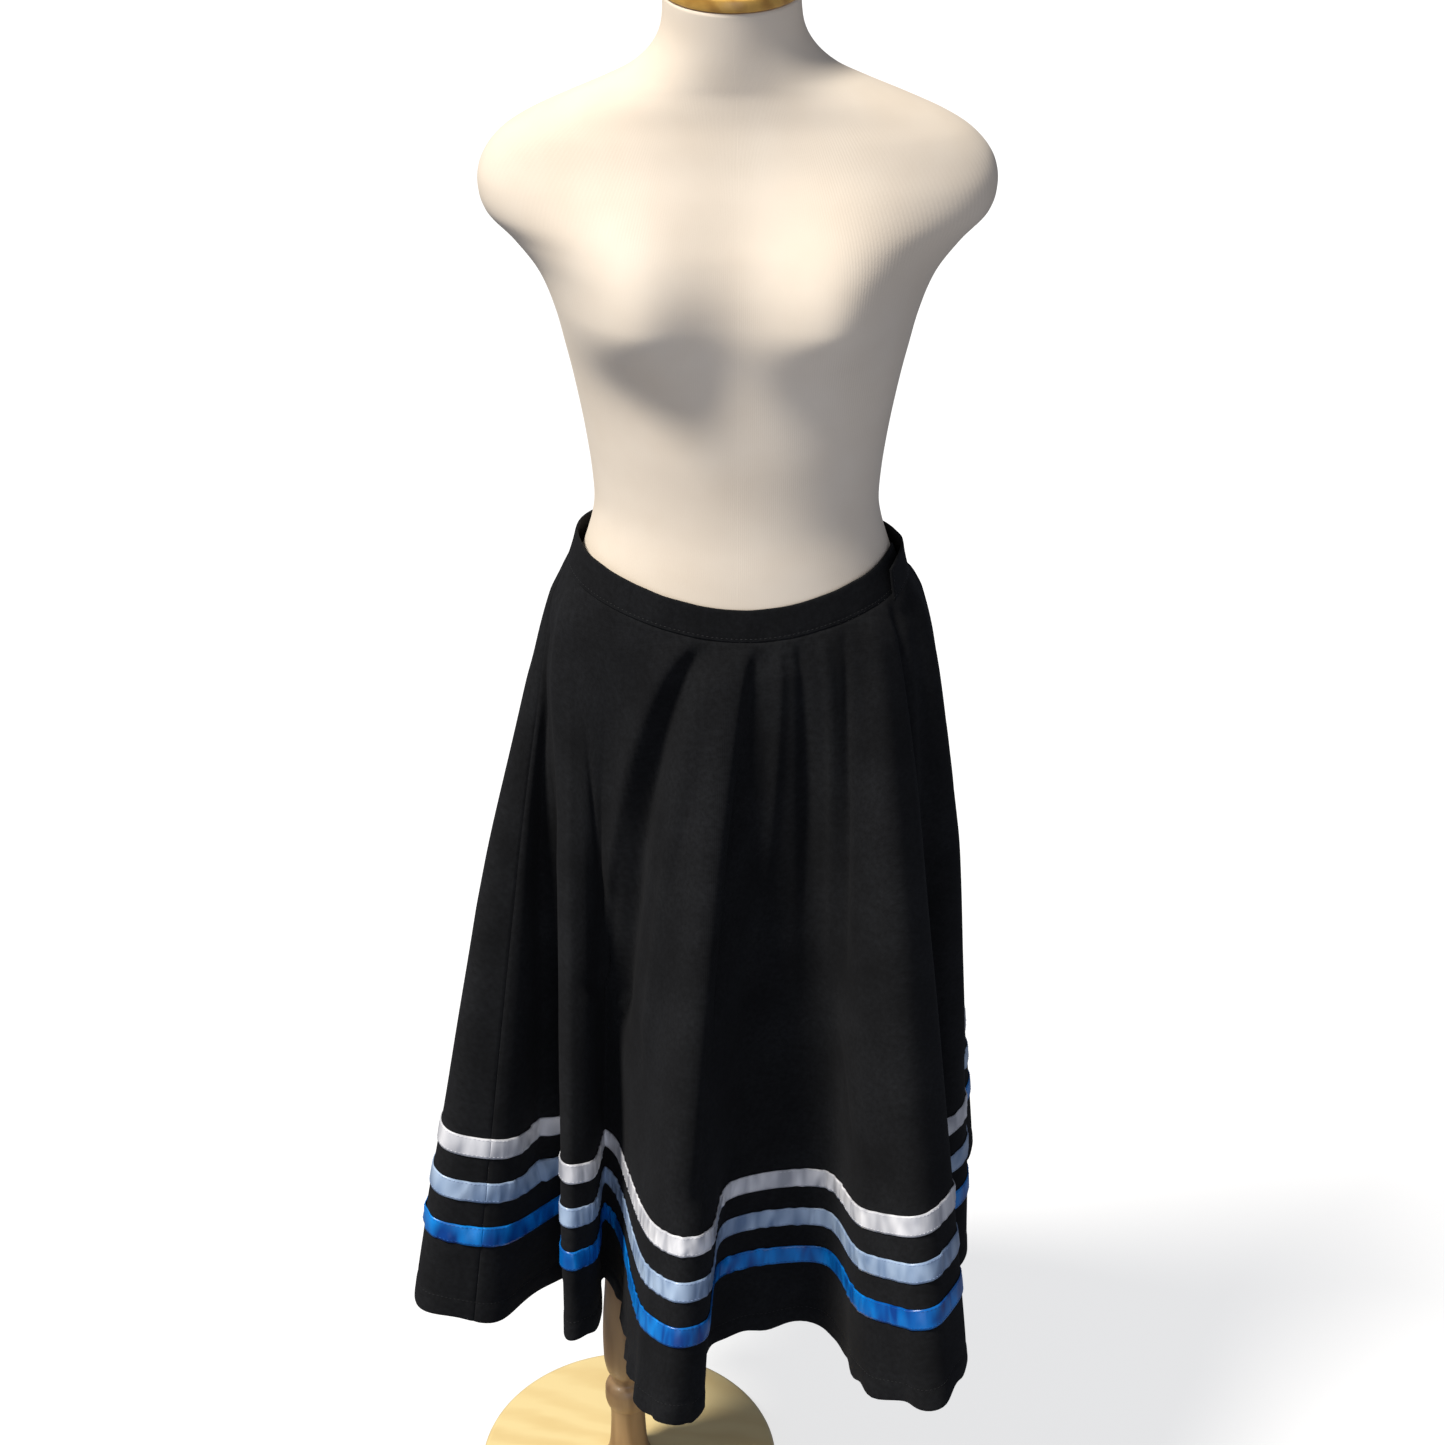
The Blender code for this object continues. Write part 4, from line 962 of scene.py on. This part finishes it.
def closed_shell(name, rings, material, flat_scale):
    """A closed skin over rings of points, with both ends drawn together to a middle point."""
    ends = [rings[0].mean(axis=0), rings[-1].mean(axis=0)]
    inner = [ends[0] + (rings[0] - ends[0]) * k for k in (0.4, 0.8, 0.97)]
    outer = [ends[1] + (rings[-1] - ends[1]) * k for k in (0.97, 0.8, 0.4)]
    rings = np.array(inner + list(rings) + outer)
    rows, columns = rings.shape[:2]
    mesh = bpy.data.meshes.new(name)
    bm = bmesh.new()
    cut = bm.loops.layers.uv.new("cut")
    grid = [[bm.verts.new(point) for point in ring] for ring in rings]
    middles = [bm.verts.new(point) for point in ends]
    around = np.linspace(0, flat_scale[0], columns + 1)
    for i in range(rows - 1):
        for j in range(columns):
            k = (j + 1) % columns
            face = bm.faces.new((grid[i][j], grid[i][k], grid[i + 1][k], grid[i + 1][j]))
            for loop, (u, v) in zip(face.loops, ((j, i), (j + 1, i), (j + 1, i + 1), (j, i + 1))):
                loop[cut].uv = (around[u], v * flat_scale[1] / rows)
    for j in range(columns):
        k = (j + 1) % columns
        bm.faces.new((middles[0], grid[0][k], grid[0][j]))
        bm.faces.new((middles[1], grid[-1][j], grid[-1][k]))
    bmesh.ops.recalc_face_normals(bm, faces=bm.faces)
    bm.to_mesh(mesh)
    bm.free()
    mesh.shade_smooth()
    mesh.materials.append(material)
    item = bpy.data.objects.new(name, mesh)
    bpy.context.scene.collection.objects.link(item)
    return item


section_heights = FORM_SECTIONS[:, 0]
last_section = len(section_heights) - 1
torso_heights = np.interp(np.linspace(0, last_section, last_section * TORSO_STEPS + 1),
                          np.arange(len(section_heights)), section_heights)
torso_angles = np.linspace(0, math.tau, TORSO_COLUMNS, endpoint=False)
torso = closed_shell("jersey_torso", torso_points(torso_angles[None, :], torso_heights[:, None]),
                     ivory_jersey(), JERSEY_CUT)
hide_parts("form_torso")
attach(torso, "root")
print("torso:", len(torso.data.polygons), "faces")

# %% [markdown]
# ## Wood
#
# The base is pale varnished beech, the pole a darker stained beech turned on a lathe, and the neck cap
# a golden one. Wood is drawn as growth rings: a distorted wave across the board, stretched along the
# grain, with fine pores as a bump. The varnish is a thin clear coat.

# %% Wood finishes


def varnished_wood(name, light, dark, grain, roughness, coat, rings=26.0):
    """Wood whose grain runs along one axis. grain scales the pattern along X, Y and Z."""
    mat, tree, output = new_material(name)
    place = add_node(tree, "ShaderNodeTexCoord").outputs["Object"]
    board = add_node(tree, "ShaderNodeMapping", Vector=place, Scale=grain)
    growth = add_node(tree, "ShaderNodeTexWave", {"wave_type": "BANDS", "bands_direction": "DIAGONAL"},
                      Vector=board.outputs[0], Scale=rings, Distortion=6.0, Detail=3.0, Detail_Scale=1.2)
    patches = add_node(tree, "ShaderNodeTexNoise", Vector=board.outputs[0], Scale=22.0, Detail=4.0)
    pores = add_node(tree, "ShaderNodeTexNoise", Vector=board.outputs[0], Scale=420.0, Detail=2.0)
    mixed = add_node(tree, "ShaderNodeMath", {"operation": "MULTIPLY_ADD"},
                     _0=growth.outputs["Fac"], _1=0.45, _2=patches.outputs["Fac"])
    tone = add_node(tree, "ShaderNodeValToRGB", Fac=mixed.outputs[0])
    tone.color_ramp.elements[0].position = 0.38
    tone.color_ramp.elements[0].color = linear(dark)
    tone.color_ramp.elements[1].position = 0.92
    tone.color_ramp.elements[1].color = linear(light)
    bump = add_node(tree, "ShaderNodeBump", Strength=0.12, Distance=0.0003, Height=pores.outputs["Fac"])
    shader = add_node(tree, "ShaderNodeBsdfPrincipled", Base_Color=tone.outputs[0], Roughness=roughness,
                      Normal=bump.outputs[0], Coat_Weight=coat, Coat_Roughness=0.18)
    tree.links.new(shader.outputs[0], output.inputs[0])
    return mat


base_wood = varnished_wood("pale varnished beech", "#ead49a", "#e0c68a", (0.35, 1.0, 1.0), 0.42, 0.35, 15.0)
pole_wood = varnished_wood("stained turned beech", "#aa8a62", "#7f5f3e", (1.0, 1.0, 0.10), 0.48, 0.20)
cap_wood = varnished_wood("golden varnished beech", "#d9a84e", "#a9742a", (1.0, 0.30, 1.0), 0.40, 0.35)

# %% [markdown]
# ## The turned stand
#
# A lathe makes every piece of the stand: a round base with eased edges, a pole with a vase, a bead
# and a long plain shaft, and a domed cap. A profile spun round its axis is the same thing. The corners of
# each profile are joined by a smooth line, except where the turner cut a crisp step.

# %% Turned pieces
BASE_RADIUS, BASE_HEIGHT = 0.157, 0.028
LATHE_STEPS = 96
foot, head = BASE_HEIGHT + GAP, UNDERSIDE_Z - GAP


def quarter_round(radius, height, fillet, above, steps=6):
    """The rounded edge between a face at height and a side at radius."""
    turn = [math.pi / 2 * i / steps for i in range(steps + 1)]
    edge = [(radius - fillet + fillet * math.sin(a), height - above * fillet * (1 - math.cos(a)))
            for a in turn]
    return edge if above > 0 else edge[::-1]


def lathe(name, profile, material, node, place=(0, 0, 0), tilt=0.0):
    """Turns a profile of (radius, height), top to bottom, about its axis, and sets it in place."""
    bm = bmesh.new()
    points = [bm.verts.new((r, 0, h)) for r, h in profile]
    for a, b in zip(points, points[1:]):
        bm.edges.new((a, b))
    bmesh.ops.spin(bm, geom=list(bm.verts) + list(bm.edges), angle=math.tau, steps=LATHE_STEPS,
                   axis=(0, 0, 1), cent=(0, 0, 0))
    bmesh.ops.remove_doubles(bm, verts=bm.verts, dist=0.00002)
    bmesh.ops.recalc_face_normals(bm, faces=bm.faces)
    bmesh.ops.transform(bm, matrix=Matrix.Translation(place) @ Matrix.Rotation(tilt, 4, "X"), verts=bm.verts)
    mesh = bpy.data.meshes.new(name)
    bm.to_mesh(mesh)
    bm.free()
    mesh.shade_smooth()
    mesh.set_sharp_from_angle(angle=math.radians(38))
    mesh.materials.append(material)
    item = bpy.data.objects.new(name, mesh)
    bpy.context.scene.collection.objects.link(item)
    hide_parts(node)
    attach(item, "root")
    return item


def smooth_profile(corners, per_span=5):
    """A profile through its corner points, as a monotone curve by height."""
    r, h = np.array(corners).T
    span = np.diff(h)
    slope = np.diff(r) / span
    bend = np.zeros(len(r))
    for i in range(1, len(r) - 1):
        if slope[i - 1] * slope[i] > 0:
            bend[i] = 2 / (1 / slope[i - 1] + 1 / slope[i])
    out = []
    for i in range(len(span)):
        for t in np.arange(per_span) / per_span:
            out.append(((2 * t**3 - 3 * t**2 + 1) * r[i] + (t**3 - 2 * t**2 + t) * span[i] * bend[i]
                        + (3 * t**2 - 2 * t**3) * r[i + 1] + (t**3 - t**2) * span[i] * bend[i + 1],
                        h[i] + span[i] * t))
    return out + [tuple(corners[-1])]


base_profile = [(0.0, BASE_HEIGHT), *quarter_round(BASE_RADIUS, BASE_HEIGHT, 0.006, 1),
                *quarter_round(BASE_RADIUS, 0.0, 0.003, -1), (0.0, 0.0)]
shaft = ((0.0300, head - 0.0100), (0.0250, head - 0.0180), (0.0195, head - 0.0260), (0.0180, head - 0.0400),
         (0.0175, 0.520), (0.0180, 0.360), (0.0190, 0.300), (0.0212, 0.258), (0.0235, 0.222),
         (0.0242, 0.195), (0.0238, 0.170), (0.0212, 0.153), (0.0160, 0.142), (0.0155, 0.138))
bead = ((0.0155, 0.1379), (0.0205, 0.133), (0.0232, 0.126), (0.0235, 0.116), (0.0215, 0.106), (0.0185, 0.101))
socket = ((0.0185, 0.1009), (0.0180, 0.090), (0.0190, 0.060), (0.0215, 0.040), (0.0240, foot + 0.0040))
pole_profile = [(0.0, head), (0.0290, head), (0.0298, head - 0.0006), (0.0300, head - 0.0020),
                *smooth_profile(shaft), *smooth_profile(bead), *smooth_profile(socket),
                (0.0240, foot), (0.0, foot)]
cap_profile = [(0.0, 0.0260), (0.0090, 0.0257), (0.0180, 0.0245), (0.0265, 0.0225), (0.0340, 0.0195),
               (0.0405, 0.0156), (0.0455, 0.0115), (0.0490, 0.0109), (0.0525, 0.0105), (0.0540, 0.0098),
               (0.0545, 0.0085), (0.0545, 0.0025), (0.0540, 0.0008), (0.0525, 0.0), (0.0, 0.0)]
lathe("turned_base", base_profile, base_wood, "base_disc")
lathe("turned_pole", pole_profile, pole_wood, "pole")
lathe("turned_cap", cap_profile, cap_wood, "neck_cap",
      (FORM_X + NECK_ASIDE, -NECK_LEAN, NECK_TOP_Z + GAP + 0.0002), NECK_TILT)
print("turned pieces: base, pole and cap")

# %% [markdown]
# ## The camera
#
# The photograph looks down on the form from the front, from about 2.1 m away. Its focal length came
# out of the fit in pixels of the square picture, and the sensor's width turns that into millimetres.

# %% Camera
SENSOR_MM, FOCAL_PIXELS, PICTURE_PIXELS = 36.0, 2364.0, 1445.0
LOOKING_DOWN_DEG = 28.0
camera_data = bpy.data.cameras.new("camera")
camera_data.sensor_width = SENSOR_MM
camera_data.lens = SENSOR_MM * FOCAL_PIXELS / PICTURE_PIXELS
camera = bpy.data.objects.new("camera", camera_data)
camera.location = (0.100, -1.87, 1.91)
camera.rotation_euler = (math.radians(90.0 - LOOKING_DOWN_DEG), 0, 0)
bpy.context.scene.collection.objects.link(camera)
bpy.context.scene.camera = camera
print("focal length", round(camera_data.lens, 1), "mm")

# %% [markdown]
# ## The floor and the light
#
# The form stands in a bright room with one broad light from the upper left, which leaves soft shadows
# on its right, and weak cool light from in front. A sun with a wide angle gives such shadows. The
# floor glows, so that it stays evenly pale, and it is hidden from the light that bounces, or it would
# brighten the cloth from below.

# %% Floor and light


def flat_floor():
    """A pale studio floor, which is for the picture only."""
    mesh = bpy.data.meshes.new("floor")
    mesh.from_pydata([(-8, -8, 0), (8, -8, 0), (8, 8, 0), (-8, 8, 0)], [], [(0, 1, 2, 3)])
    floor = bpy.data.objects.new("floor", mesh)
    bpy.context.scene.collection.objects.link(floor)
    mat, tree, output = new_material("pale studio floor")
    shader = add_node(tree, "ShaderNodeBsdfPrincipled", Base_Color=linear("#9a9a9a"), Roughness=0.9,
                      Emission_Color=linear("#ffffff"), Emission_Strength=0.72)
    tree.links.new(shader.outputs[0], output.inputs[0])
    mesh.materials.append(mat)
    floor.visible_diffuse = floor.visible_glossy = False     # it sends no light back up to the cloth
    return floor


def soft_box(name, place, target, size, watts):
    """A square, faintly cool light that is aimed at a place."""
    light = bpy.data.lights.new(name, "AREA")
    light.shape, light.size, light.energy = "SQUARE", size, watts
    light.color = linear("#f2f5ff")[:3]
    lamp = bpy.data.objects.new(name, light)
    lamp.location = place
    aim = Vector(target) - Vector(place)
    lamp.rotation_euler = aim.to_track_quat("-Z", "Y").to_euler()
    bpy.context.scene.collection.objects.link(lamp)
    return lamp


KEY_SIDE, KEY_HEIGHT = math.radians(63), math.radians(58)
flat_floor()
sun = bpy.data.lights.new("key", "SUN")
sun.energy, sun.angle, sun.color = 4.1, math.radians(14), linear("#fffaf2")[:3]
key = bpy.data.objects.new("key", sun)
key_from = Vector((-math.sin(KEY_SIDE) * math.cos(KEY_HEIGHT),
                   -math.cos(KEY_SIDE) * math.cos(KEY_HEIGHT), math.sin(KEY_HEIGHT)))
key.rotation_euler = (-key_from).to_track_quat("-Z", "Y").to_euler()
bpy.context.scene.collection.objects.link(key)
soft_box("fill", (0.3, -3.4, 1.5), (0.1, 0.0, 0.7), 1.6, 11)
soft_box("low fill", (0.1, -2.4, 0.6), (0.15, 0.0, 0.45), 1.4, 6)
world = bpy.data.worlds.new("studio")
world.use_nodes = True
world.node_tree.nodes["Background"].inputs[0].default_value = linear("#e6edff")
world.node_tree.nodes["Background"].inputs[1].default_value = 0.215
bpy.context.scene.world = world
bpy.context.scene.view_settings.view_transform = "Standard"
print("lights: key, fill and low fill")
